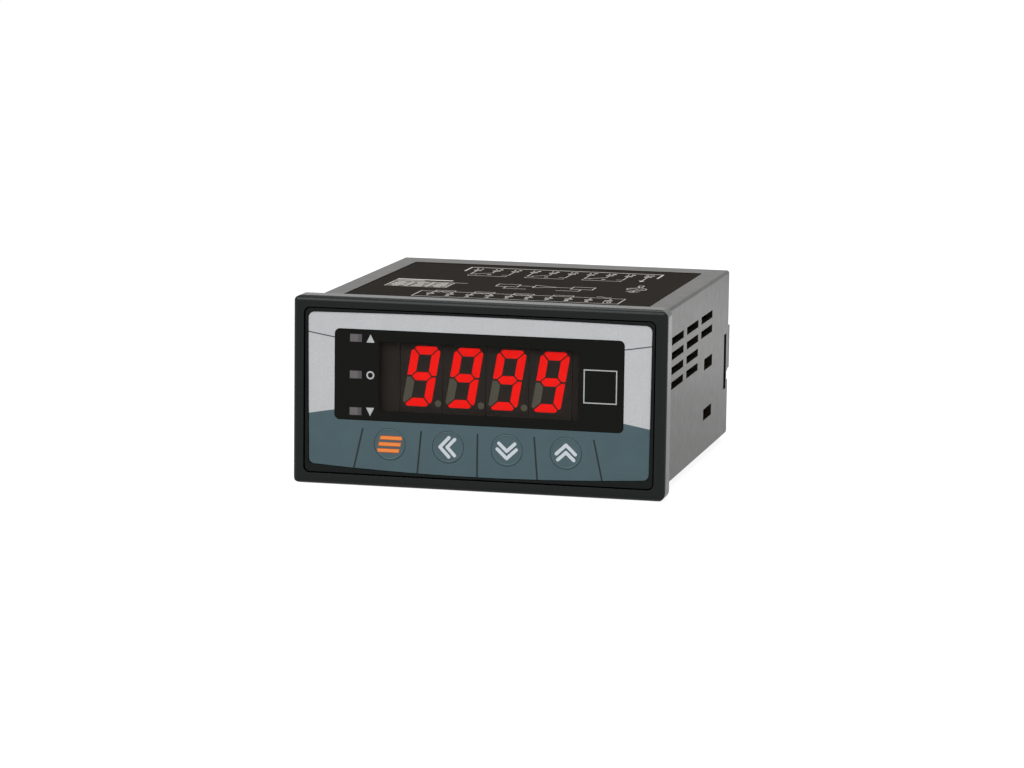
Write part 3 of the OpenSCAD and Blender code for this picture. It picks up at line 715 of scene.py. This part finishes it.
def rectangle(x: float, y: float, width: float, height: float) -> list[Point]:
    """Corners of a rectangle round a centre."""
    half_w, half_h = width / 2, height / 2
    turns = ((-1, -1), (1, -1), (1, 1), (-1, 1))
    return [(x + side * half_w, y + rise * half_h) for side, rise in turns]


def stroke(points: Sequence[Point], width: float) -> list[Point]:
    """Outline of a bent line of one width, with round ends and round outer bends.

    Args:
        points: The line's corners and ends.
        width: Its width.

    Returns:
        The outline, clockwise.
    """
    radius = width / 2
    outline: list[Point] = []
    for chain in (list(points), list(points)[::-1]):
        corners = [Vector(p) for p in chain]
        ways = [(b - a).normalized() for a, b in zip(corners, corners[1:])]
        normals = [Vector((-way.y, way.x)) for way in ways]
        outline.append(tuple(corners[0] + normals[0] * radius))
        for corner, normal, following in zip(corners[1:], normals, normals[1:]):
            turn = math.atan2(normal.cross(following), normal.dot(following))
            if turn > 0:
                outline.append(tuple(corner + (normal + following) * radius / (1 + normal.dot(following))))
            else:
                outline += arc(corner, radius, math.atan2(normal.y, normal.x), turn)
        outline += arc(corners[-1], radius, math.atan2(normals[-1].y, normals[-1].x), -math.pi, 8)[:-1]
    return outline


def leaned(points: Sequence[Point], lean: float, base: float) -> list[Point]:
    """Points pushed sideways by a share of their height above a base."""
    return [(x + lean * (y - base), y) for x, y in points]


class Side(Enum):
    """A side of the meter that carries print. Its shapes are drawn as somebody facing it sees them."""

    FRONT = "front"
    TOP = "top"
    REAR = "rear"

    def place(self, across: float, up: float, level: float) -> Vector:
        """Turns a drawn point into a place in the part's frame.

        Args:
            across: Distance to the viewer's right.
            up: Distance up the drawing.
            level: Place along the side's outward axis; the front's is -Y.

        Returns:
            The place in metres.
        """
        spots = {
            Side.FRONT: (across, -level, up),
            Side.TOP: (across, up, level),
            Side.REAR: (-across, level, up),
        }
        return Vector(spots[self]) * MM


class Stencil:
    """Shapes that are printed together on one side, and become one mesh as thick as the ink."""

    def __init__(self, side: Side, level: float, ink: float = 0.02) -> None:
        """Starts an empty stencil.

        Args:
            side: The side that it lies on.
            level: Place of the printed surface along the side's outward axis.
            ink: Thickness of the ink.
        """
        self.side = side
        self.level = level
        self.ink = ink
        self.points: list[Vector] = []
        self.faces: list[tuple[int, ...]] = []

    def _loop(self, outline: Sequence[Point], rise: float) -> list[int]:
        """Adds an outline's points at a height above the surface and gives their numbers."""
        first = len(self.points)
        self.points += [self.side.place(u, v, self.level + rise) for u, v in outline]
        return list(range(first, len(self.points)))

    def _walls(self, low: Sequence[int], high: Sequence[int]) -> None:
        """Joins two loops of as many points."""
        for k in range(len(low)):
            after = (k + 1) % len(low)
            self.faces.append((low[k], low[after], high[after], high[k]))

    def shape(self, outline: Sequence[Point]) -> None:
        """Adds a filled shape."""
        low, high = self._loop(outline, 0.0), self._loop(outline, self.ink)
        self.faces += [tuple(low), tuple(reversed(high))]
        self._walls(low, high)

    def ring(self, outer: Sequence[Point], inner: Sequence[Point]) -> None:
        """Adds the area between two outlines of as many points."""
        levels = ((outer, 0.0), (outer, self.ink), (inner, self.ink), (inner, 0.0))
        loops = [self._loop(outline, rise) for outline, rise in levels]
        for low, high in zip(loops, loops[1:] + loops[:1]):
            self._walls(low, high)

    def line(self, points: Sequence[Point], width: float) -> None:
        """Adds a line with round ends."""
        self.shape(stroke(points, width))

    def loop(self, x: float, y: float, radius: float, width: float) -> None:
        """Adds a round line."""
        self.ring(circle(x, y, radius + width / 2), circle(x, y, radius - width / 2))

    def frame(self, x: float, y: float, size: Point, width: float) -> None:
        """Adds a rectangular line, of which the size is the outer one."""
        outer = rectangle(x, y, size[0], size[1])
        self.ring(outer, rectangle(x, y, size[0] - 2 * width, size[1] - 2 * width))

    def figure(self, number: int, x: float, y: float, height: float) -> None:
        """Adds a plain number.

        Args:
            number: The number.
            x: Its middle across the drawing.
            y: Its middle up the drawing.
            height: Height of its figures.
        """
        cap_share = 0.69
        curve = bpy.data.curves.new("figure", "FONT")
        curve.body = str(number)
        curve.size = height / cap_share
        curve.align_x = "CENTER"
        curve.resolution_u = 2
        curve.extrude = self.ink / 2
        drawn = bpy.data.objects.new("figure", curve)
        mesh = bpy.data.meshes.new_from_object(drawn)
        first = len(self.points)
        for vertex in mesh.vertices:
            u, v, rise = vertex.co
            self.points.append(self.side.place(x + u, y - height / 2 + v, self.level + self.ink / 2 + rise))
        self.faces += [tuple(first + k for k in polygon.vertices) for polygon in mesh.polygons]
        bpy.data.objects.remove(drawn)
        bpy.data.curves.remove(curve)
        bpy.data.meshes.remove(mesh)

    def build(self, name: str) -> bpy.types.Object:
        """Makes the mesh and its object.

        Args:
            name: Name of both.

        Returns:
            The object, in the scene.
        """
        mesh = bpy.data.meshes.new(name)
        mesh.from_pydata(self.points, [], self.faces)
        sheet = bmesh.new()
        sheet.from_mesh(mesh)
        bmesh.ops.remove_doubles(sheet, verts=sheet.verts, dist=MM * 1e-4)
        bmesh.ops.recalc_face_normals(sheet, faces=sheet.faces)
        sheet.to_mesh(mesh)
        sheet.free()
        return placed(name, mesh)


# ---- sub-assemblies ----


@dataclass
class SubAssembly:
    """What the sub-assemblies share: dressing CAD nodes and adding pieces."""

    pieces: list[str] = field(default_factory=list, init=False)

    def dress(self, finish: Finish, *nodes: str) -> None:
        """Gives CAD nodes a finish.

        Args:
            finish: The finish.
            nodes: Names of the nodes.
        """
        for name in nodes:
            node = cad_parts[name]
            if not node.material_slots:
                node.data.materials.append(None)
            for slot in node.material_slots:
                slot.material = finish.material()
            self.pieces.append(name)

    def add(self, piece: bpy.types.Object, finish: Finish, slot: str, body: str = "base") -> None:
        """Finishes a new piece and fastens it.

        Args:
            piece: The piece, in place.
            finish: Its finish.
            slot: The record's material slot that it belongs to. Not used.
            body: The CAD body that it moves with.
        """
        piece.data.materials.append(finish.material())
        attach(piece, body)
        self.pieces.append(piece.name)

    def build(self) -> None:
        """Makes and dresses the pieces."""
        raise NotImplementedError


@dataclass
class Housing(SubAssembly):
    """Case, bezel and rear cover, with the terminal numbers on the cover's bar.

    Attributes:
        figure_h: Height of a terminal number.
        figure_edge: Distance of the numbers from the bar's upper and lower edge.
        terminals: Terminals in a row.
        bar_h: Height of the cover's bar.
        bar_z: Height of the bar's middle.
    """

    figure_h: float = 2.2
    figure_edge: float = 2.1
    terminals: int = 10
    bar_h: float = 11.7
    bar_z: float = 1.35

    def build(self) -> None:
        """Dresses the housing and prints the terminal numbers."""
        self.dress(Palette.case, "case")
        self.dress(Palette.bezel, "bezel")
        self.dress(Palette.cover, "rear_cover")
        self.print_numbers()

    def print_numbers(self) -> None:
        """Numbers the terminals from the left, the lower row first."""
        clamps = Box.of("clamps_upper")
        pitch = (clamps.size.x - self.clamp_width(clamps)) / (self.terminals - 1)
        numbers = Stencil(Side.REAR, Box.of("rear_cover").high.y)
        for row, side in enumerate((-1, 1)):
            height = self.bar_z + side * (self.bar_h / 2 - self.figure_edge)
            for k in range(self.terminals):
                place = (k - (self.terminals - 1) / 2) * pitch
                numbers.figure(row * self.terminals + k + 1, place, height, self.figure_h)
        self.add(numbers.build("terminal_numbers"), Palette.figure_ink, "label_print")

    def clamp_width(self, clamps: Box) -> float:
        """Width of one clamp plate, which is a little less than its height."""
        shorter = 0.3
        return clamps.size.z - shorter


@dataclass
class TopLabel(SubAssembly):
    """Black label on the top, with a plain wiring diagram of symbols and numbers.

    Attributes:
        line: Width of the diagram's lines.
        figure_h: Height of its numbers.
        count: Terminals in each row.
        pitch: Distance between two terminals of the diagram.
        shift: How far the diagram's middle lies to the right of the label's.
        ring_r: Radius of a terminal's circle.
        rear_inset: Distance of the rear row of terminals from the label's rear edge.
        front_inset: Distance of the front row from the label's front edge.
        cell: Width and height of a cell of the table.
        lead: Distance from a terminal's centre to the start of its line.
        label: The label's box.
        ink: What is printed on it.
    """

    line: float = 0.22
    figure_h: float = 1.9
    count: int = 10
    pitch: float = 5.2
    shift: float = 4.0
    ring_r: float = 0.95
    rear_inset: float = 12.0
    front_inset: float = 13.0
    cell: Point = (5.6, 2.5)
    lead: float = 1.2
    label: Box = field(init=False)
    ink: Stencil = field(init=False)

    def build(self) -> None:
        """Dresses the label and prints the diagram."""
        self.dress(Palette.label, "top_label")
        self.label = Box.of("top_label")
        self.ink = Stencil(Side.TOP, self.label.high.z)
        self.outputs(self.label.high.y - self.rear_inset)
        self.inputs(self.label.low.y + self.front_inset)
        left = self.label.low.x + 4.5
        self.heading(left, self.label.middle.y + 1.5)
        self.table(left, self.label.middle.y - 13.0, 3, 4)
        self.supply(self.label.high.x - 10.0, self.label.middle.y)
        self.amplifier(self.label.middle.x + 6.0, self.label.middle.y - 3.0)
        self.add(self.ink.build("label_diagram"), Palette.label_ink, "label_print")

    def spot(self, k: float) -> float:
        """Place across the label of terminal k, counted from 0."""
        return self.label.middle.x + self.shift + (k - (self.count - 1) / 2) * self.pitch

    def path(self, *points: Point) -> None:
        """Draws a line of the usual width."""
        self.ink.line(points, self.line)

    def terminal(self, x: float, y: float, number: int, rise: float) -> None:
        """Draws a screw terminal with its number at a rise above it."""
        self.ink.loop(x, y, self.ring_r, self.line)
        reach = self.ring_r * 0.45
        self.path((x - reach, y - reach), (x + reach, y + reach))
        self.ink.figure(number, x, y + rise, self.figure_h)

    def wave(self, x: float, y: float, half: float, height: float, steps: int) -> None:
        """Draws one turn of a sine wave.

        Args:
            x: Its middle.
            y: Its middle line.
            half: Half its length.
            height: Height of its crest.
            steps: Points in each half of it.
        """
        turn = math.pi / steps
        spots = range(2 * steps + 1)
        self.path(*[(x + half * (t / steps - 1), y + height * math.sin(turn * t)) for t in spots])

    def bracket(self, left: float, right: float, y: float, depth: float, width: float) -> None:
        """Draws a bracket that opens towards its depth."""
        self.ink.line([(left, y + depth), (left, y), (right, y), (right, y + depth)], width)

    def resistor(self, left: float, right: float, y: float) -> None:
        """Draws a zigzag between two places."""
        turns, half = 6, 0.55
        step = (right - left) / turns
        corners = [(left + (k + 0.5) * step, y + half * (-1) ** k) for k in range(turns)]
        self.path((left, y), *corners, (right, y))

    def outputs(self, y: float) -> None:
        """Rear row of terminals in a long bracket, with three changeover contacts and a signal.

        Args:
            y: The row's place along the label.
        """
        for k in range(self.count):
            self.terminal(self.spot(k), y, 11 + k, 3.0)
        self.bracket(self.spot(0) - 3.0, self.spot(self.count - 1) + 3.0, y + 6.3, -8.5, 2 * self.line)
        level, reach = y - 8.4, 1.7
        for first in (0, 3, 6):
            left, middle, right = (self.spot(first + k) for k in range(3))
            self.path((middle, y - self.lead), (middle, y - 4.4), (left + 1.3, y - 8.0))
            for contact, inward in ((left, reach), (right, -reach)):
                self.path((contact, y - self.lead), (contact, level), (contact + inward, level))
            self.ink.loop(middle, level, 0.45, self.line)
            self.bracket(left, right, y - 11.4, 1.0, self.line)
        arrow, tip, head, half = self.spot(9), y - 10.4, 2.0, 0.8
        self.path((arrow, y - self.lead), (arrow, tip + head))
        self.ink.shape([(arrow, tip), (arrow - half, tip + head), (arrow + half, tip + head)])

    def inputs(self, y: float) -> None:
        """Front row of terminals with shunts, inputs and the supply's wave.

        Args:
            y: The row's place along the label.
        """
        knee, bridge, legs = 3.4, 6.6, -1.6
        for k in range(self.count):
            self.terminal(self.spot(k), y, k + 1, -3.0)
            self.path((self.spot(k), y + self.lead), (self.spot(k), y + knee))
        for first in (0, 2, 4):
            left, right = self.spot(first), self.spot(first + 1)
            self.resistor(left, right, y + knee)
            self.bracket(left, right, y + bridge, legs, self.line)
        self.bracket(self.spot(6), self.spot(7), y + bridge, legs, self.line)
        self.wave(self.spot(8.5), y + 6.4, 1.9, 0.8, 6)
        self.ink.frame(self.spot(4.5), y - 0.6, (self.pitch * self.count + 2.0, 10.4), self.line)

    def heading(self, left: float, y: float) -> None:
        """Two thick bars over a thin one, in the place of a title."""
        for width, height, up in ((15.0, 1.3, 0.0), (8.0, 0.7, -2.4), (20.0, self.line, -3.9)):
            self.ink.shape(rectangle(left + width / 2, y + up, width, height))

    def table(self, left: float, low: float, columns: int, rows: int) -> None:
        """Table with a short bar in each cell, in the place of its ratings.

        Args:
            left: Its left edge.
            low: Its lower edge.
            columns: Number of columns.
            rows: Number of rows.
        """
        cell_w, cell_h = self.cell
        for column in range(columns):
            for row in range(rows):
                middle = (left + (column + 0.5) * cell_w, low + (row + 0.5) * cell_h)
                self.ink.frame(*middle, (cell_w - self.line, cell_h - self.line), self.line)
                bar = cell_w * (0.3 + 0.1 * ((2 * column + 3 * row) % 4))
                self.ink.shape(rectangle(*middle, bar, 0.5))

    def supply(self, x: float, y: float) -> None:
        """Supply: a wave in a circle, a fuse in its line and an earth sign."""
        self.ink.loop(x, y, 2.6, self.line)
        self.wave(x, y, 1.7, 0.9, 8)
        self.path((x, y + 2.7), (x, y + 4.4))
        self.ink.frame(x, y + 6.0, (1.4, 3.2), self.line)
        self.path((x, y - 2.7), (x, y - 5.0))
        for k, half in enumerate((1.8, 1.2, 0.6)):
            rung = y - 5.0 - 0.8 * k
            self.path((x - half, rung), (x + half, rung))

    def amplifier(self, x: float, y: float) -> None:
        """Signal path: a triangle between two boxes, with the lines that join them."""
        for side in (-1, 1):
            self.ink.frame(x + side * 10.0, y, (6.0, 5.0), self.line)
            self.path((x + side * 3.0, y), (x + side * 7.0, y))
            self.path((x + side * 10.0, y - 2.6), (x + side * 10.0, y - 6.0), (x + side * 4.0, y - 6.0))
        self.path((x - 3.0, y - 2.6), (x + 3.0, y), (x - 3.0, y + 2.6), (x - 3.0, y - 2.6))


@dataclass
class FacePlate(SubAssembly):
    """Front plate, printed film and display pane with its marks.

    Attributes:
        lens_side: Distance of the clear lens from the centre line.
        lens_z: Heights of the lens's lower and upper edge.
        mark_x: Middle of the marks beside the indicators.
        mark_size: Height of a mark.
        unit_x: Middle of the empty frame for the unit.
        unit_z: Height of its middle.
        unit_size: Width and height of that frame.
        unit_line: Width of its line.
    """

    lens_side: float = 25.7
    lens_z: Point = (-4.6, 12.9)
    mark_x: float = -27.9
    mark_size: float = 2.1
    unit_x: float = 31.2
    unit_z: float = 4.12
    unit_size: Point = (8.5, 8.55)
    unit_line: float = 0.28

    def build(self) -> None:
        """Dresses the plate, the film and the pane, and prints the marks."""
        pane = Box.of("display_window")
        lamps = [Box.of("indicator_" + row) for row in ("upper", "middle", "lower")]
        self.dress(Palette.plate, "front_plate")
        film = Box.of("face_film")
        silver = SilverPrint(
            "printed_film",
            srgb(191, 193, 195),
            roughness=0.4,
            depth=0.004,
            edge=0.04,
            window_half=pane.size.x / 2,
            divider_bottom=film.low.z,
        )
        self.dress(silver, "face_film")
        smoked = SmokedPane(
            "smoked_pane",
            srgb(9, 10, 7),
            roughness=0.16,
            index=1.18,
            depth=0.0005,
            edge=0.03,
            lens=((-self.lens_side, self.lens_z[0]), (self.lens_side, self.lens_z[1])),
            lamps=tuple((lamp.middle.x, lamp.middle.z) for lamp in lamps),
            lamp_size=(lamps[0].size.x, lamps[0].size.z),
            front=pane.low.y,
        )
        self.dress(smoked, "display_window")
        self.print_marks(-pane.low.y, [lamp.middle.z for lamp in lamps])

    def print_marks(self, level: float, heights: Sequence[float]) -> None:
        """Prints the empty frame for the unit and a mark beside each indicator.

        Args:
            level: Place of the pane's face along its outward axis.
            heights: Heights of the indicators, from the top.
        """
        marks = Stencil(Side.FRONT, level)
        marks.frame(self.unit_x, self.unit_z, self.unit_size, self.unit_line)
        half = self.mark_size / 2
        for side, height in ((1, heights[0]), (-1, heights[2])):
            tip, foot = height + side * half, height - side * half
            x = self.mark_x
            marks.shape([(x, tip), (x - half, foot), (x + half, foot)])
        marks.loop(self.mark_x, heights[1], half - 0.2, 0.4)
        self.add(marks.build("window_marks"), Palette.window_ink, "film_print")


class Arrow(Enum):
    """Direction of a key's double arrow, in quarter turns from the upward one."""

    UP = 0
    LEFT = 1
    DOWN = 2


@dataclass
class Keypad(SubAssembly):
    """Four film keys with their symbols, plungers and switches.

    Attributes:
        arrows: The keys that carry a double arrow.
        arrow_line: Width of the arrows' lines.
        outer_half: Half the width of the outer arrow between its line's ends.
        inner_half: The same for the inner arrow.
        slope: Height of an arrow's arm for each unit of its width.
        arrow_step: Distance from the outer arrow's tip to the inner one's.
        bar_count: Bars of the slanted menu symbol.
        bar_step: Distance between two of them.
        bar_size: Length and height of one bar.
        bar_lean: Sideways lean of the symbol for each unit of its height.
        bar_edge: Width of the darker edge round a bar.
        face: Place of the film's face along its outward axis.
    """

    arrows: tuple[tuple[str, Arrow], ...] = (
        ("left", Arrow.LEFT),
        ("down", Arrow.DOWN),
        ("up", Arrow.UP),
    )
    arrow_line: float = 0.86
    outer_half: float = 2.45
    inner_half: float = 2.05
    slope: float = 0.94
    arrow_step: float = 1.85
    bar_count: int = 3
    bar_step: float = 1.62
    bar_size: Point = (5.6, 0.8)
    bar_lean: float = 0.25
    bar_edge: float = 0.12
    face: float = field(init=False)

    def build(self) -> None:
        """Dresses the keys and prints their symbols."""
        for key in ("mode", "left", "down", "up"):
            self.dress(Palette.key, key + "_pad")
            self.dress(Palette.plunger, key + "_plunger")
            self.dress(Palette.switch, key + "_switch")
            self.dress(Palette.stem, key + "_stem")
        self.face = -Box.of("face_film").low.y
        self.print_menu("mode")
        for key, direction in self.arrows:
            self.print_arrows(key, direction)

    def print_arrows(self, key: str, direction: Arrow) -> None:
        """Prints a double arrow.

        Args:
            key: The key that carries it.
            direction: Where it points.
        """
        middle = Box.of(key + "_pad").middle
        turn = Matrix.Rotation(math.pi / 2 * direction.value, 2)
        ink = Stencil(Side.FRONT, self.face)
        rise = (self.slope * self.outer_half + self.arrow_step) / 2
        for half, tip in ((self.outer_half, rise), (self.inner_half, rise - self.arrow_step)):
            corners = [(-half, tip - self.slope * half), (0.0, tip), (half, tip - self.slope * half)]
            places = [turn @ Vector(corner) + Vector((middle.x, middle.z)) for corner in corners]
            ink.line([(place.x, place.y) for place in places], self.arrow_line)
        self.add(ink.build(key + "_symbol"), Palette.arrow_ink, "key_print", key + "_key")

    def print_menu(self, key: str) -> None:
        """Prints three slanted bars, each on a darker and slightly larger one.

        Args:
            key: The key that carries them.
        """
        middle = Box.of(key + "_pad").middle
        layers = (
            (self.bar_edge, 0.02, Palette.mode_shadow, "_symbol_edge"),
            (0.0, 0.035, Palette.mode_ink, "_symbol"),
        )
        for edge, ink_t, finish, suffix in layers:
            ink = Stencil(Side.FRONT, self.face, ink_t)
            for k in range(self.bar_count):
                height = middle.z + (k - (self.bar_count - 1) / 2) * self.bar_step
                width, thickness = (length + 2 * edge for length in self.bar_size)
                corners = rectangle(middle.x, height, width, thickness)
                ink.shape(leaned(corners, self.bar_lean, middle.z))
            self.add(ink.build(key + suffix), finish, "key_print", key + "_key")


@dataclass
class Display(SubAssembly):
    """Four seven-segment digits and three indicators behind the pane."""

    digits: int = 4

    def build(self) -> None:
        """Dresses the housings, the segments and the indicators."""
        names = [f"digit_{k + 1}" for k in range(self.digits)]
        self.dress(Palette.digit, "display_mask", *names)
        self.dress(Palette.lit, *[name + "_lit" for name in names])
        self.dress(Palette.unlit, "unlit_segments")
        self.dress(Palette.lens, "indicator_upper", "indicator_middle", "indicator_lower")
        self.dress(Palette.lamp, "indicator_lamps")


@dataclass
class Boards(SubAssembly):
    """Circuit boards with what stands on them."""

    def build(self) -> None:
        """Dresses the boards and their parts."""
        self.dress(Palette.upright_board, "display_board")
        self.dress(Palette.board, "relay_board", "power_board")
        self.dress(Palette.chip, "controller_chip", "converter_chip")
        self.dress(Palette.header, "upper_header", "lower_header")
        self.dress(Palette.relay, "relay_1", "relay_2", "relay_3")
        self.dress(Palette.core, "transformer_core")
        self.dress(Palette.coil, "transformer_coil")
        self.dress(Palette.zinc, "board_screws")
        can = Box.of("capacitor_front").middle
        sleeve = Sleeve("shrunk_sleeve", srgb(36, 52, 84), roughness=0.35, stripe_x=can.x)
        self.dress(sleeve, "capacitor_front", "capacitor_rear")


@dataclass
class Terminals(SubAssembly):
    """Two rows of screw terminals."""

    def build(self) -> None:
        """Dresses both rows."""
        for row in ("upper", "lower"):
            self.dress(Palette.terminal, "terminal_block_" + row)
            self.dress(Palette.brass, "contacts_" + row)
            self.dress(Palette.zinc, "clamps_" + row, "terminal_screws_" + row)


# ---- studio ----


@dataclass(frozen=True)
class Lamp:
    """A soft square lamp that looks at the meter.

    Attributes:
        name: Its name.
        place: Where it stands, in metres.
        power: Its power in watts.
        size: Length of its side in metres.
    """

    name: str
    place: tuple[float, float, float]
    power: float
    size: float

    def build(self, target: Vector) -> None:
        """Puts the lamp in the scene, turned to the target."""
        data = bpy.data.lights.new(self.name, "AREA")
        data.shape = "SQUARE"
        data.size = self.size
        data.energy = self.power
        made = placed(self.name, data)
        made.location = self.place
        made.visible_camera = False
        made.rotation_euler = (target - made.location).to_track_quat("-Z", "Y").to_euler()


@dataclass
class Studio:
    """Floor, white surroundings, lamps and camera.

    Attributes:
        lamps: The lamps.
        ambient: Level of the surroundings' light on the meter.
        floor_colour: Colour of the floor.
        floor_lift: How much the floor's own white adds for the camera and in reflections.
        floor_side: Side of the floor in metres.
        floor_gap: Distance from the floor to the meter in millimetres.
        azimuth: The camera's turn to the meter's right, in degrees.
        elevation: Its height above the horizon, in degrees.
        roll: Its roll, in degrees.
        distance: Its distance from the target in metres.
        target: What it looks at, in millimetres.
        lens: Its focal length.
    """

    lamps: tuple[Lamp, ...] = (
        Lamp("key_lamp", (-0.55, -1.0, 0.95), 15.0, 0.9),
        Lamp("fill_lamp", (1.0, -1.0, 0.5), 7.0, 0.9),
        Lamp("top_lamp", (0.0, 0.1, 1.3), 8.0, 0.6),
        Lamp("rear_card", (0.09, 0.2, -0.014), 0.004, 0.04),
    )
    ambient: float = 0.5
    floor_colour: Colour = (0.25, 0.25, 0.25, 1.0)
    floor_lift: float = 0.87
    floor_side: float = 16.0
    floor_gap: float = 0.05
    azimuth: float = 13.155
    elevation: float = 8.623
    roll: float = 0.734
    distance: float = 1.006
    target: tuple[float, float, float] = (-2.83, 44.0, -3.85)
    lens: float = 134.6

    def build(self) -> None:
        """Makes everything round the meter."""
        low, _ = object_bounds()
        self.make_floor(low.z)
        self.make_world()
        for lamp in self.lamps:
            lamp.build(Vector((0.0, 0.04, 0.0)))
        self.make_camera()
        bpy.context.scene.view_settings.view_transform = "Standard"

    def seen(self, shader: Shader) -> Field:
        """Mask that is 1 for what the camera sees straight, in a reflection or through glass."""
        path = shader.node("ShaderNodeLightPath")
        camera, glossy, glass = (
            Field(shader, path.outputs[name])
            for name in ("Is Camera Ray", "Is Glossy Ray", "Is Transmission Ray")
        )
        return camera.most(glossy).most(glass)

    def make_floor(self, height: float) -> None:
        """Lays the pale floor.

        Args:
            height: Height of the meter's lowest point in metres.
        """
        mesh = bpy.data.meshes.new("floor")
        corners = [(x, y, 0.0) for x, y in rectangle(0.0, 0.0, self.floor_side, self.floor_side)]
        mesh.from_pydata(corners, [], [(0, 1, 2, 3)])
        floor = placed("floor", mesh)
        floor.location.z = height - self.floor_gap * MM
        material = bpy.data.materials.new("floor_white")
        material.use_nodes = True
        shader = Shader(material.node_tree)
        diffuse = shader.node("ShaderNodeBsdfDiffuse", {}, {"Color": self.floor_colour})
        lift = shader.node("ShaderNodeEmission", {}, {"Strength": self.floor_lift * self.seen(shader)})
        both = shader.node("ShaderNodeAddShader", {}, {0: diffuse.outputs[0], 1: lift.outputs[0]})
        shader.node("ShaderNodeOutputMaterial", {}, {"Surface": both.outputs[0]})
        mesh.materials.append(material)
        floor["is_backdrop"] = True

    def make_world(self) -> None:
        """Makes the surroundings white to look at and softer as a light."""
        world = bpy.data.worlds.new("surroundings")
        world.use_nodes = True
        bpy.context.scene.world = world
        shader = Shader(world.node_tree)
        strength = self.ambient + (1 - self.ambient) * self.seen(shader)
        back = shader.node("ShaderNodeBackground", {}, {"Color": (1, 1, 1, 1), "Strength": strength})
        shader.node("ShaderNodeOutputWorld", {}, {"Surface": back.outputs[0]})

    def make_camera(self) -> None:
        """Sets up the camera."""
        turn, rise, roll = (math.radians(a) for a in (self.azimuth, self.elevation, self.roll))
        back = Vector((math.sin(turn) * math.cos(rise), -math.cos(turn) * math.cos(rise), math.sin(rise)))
        level_right = Vector((math.cos(turn), math.sin(turn), 0.0))
        level_up = back.cross(level_right)
        right = level_right * math.cos(roll) + level_up * math.sin(roll)
        up = level_up * math.cos(roll) - level_right * math.sin(roll)
        data = bpy.data.cameras.new("camera")
        data.lens = self.lens
        data.clip_start = 0.05
        camera = placed("camera", data)
        axes = Matrix((right, up, back)).transposed().to_4x4()
        camera.matrix_world = Matrix.Translation(Vector(self.target) * MM + back * self.distance) @ axes
        bpy.context.scene.camera = camera


def main() -> None:
    """Builds the sub-assemblies in order, then the studio."""
    logging.basicConfig(level=logging.INFO, format="%(name)s: %(message)s")
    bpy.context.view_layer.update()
    assemblies = (Housing(), TopLabel(), FacePlate(), Keypad(), Display(), Boards(), Terminals())
    for assembly in assemblies:
        assembly.build()
        for piece in assembly.pieces:
            LOG.info("%s: %s", type(assembly).__name__, piece)
    Studio().build()


if __name__ == "__main__":
    main()
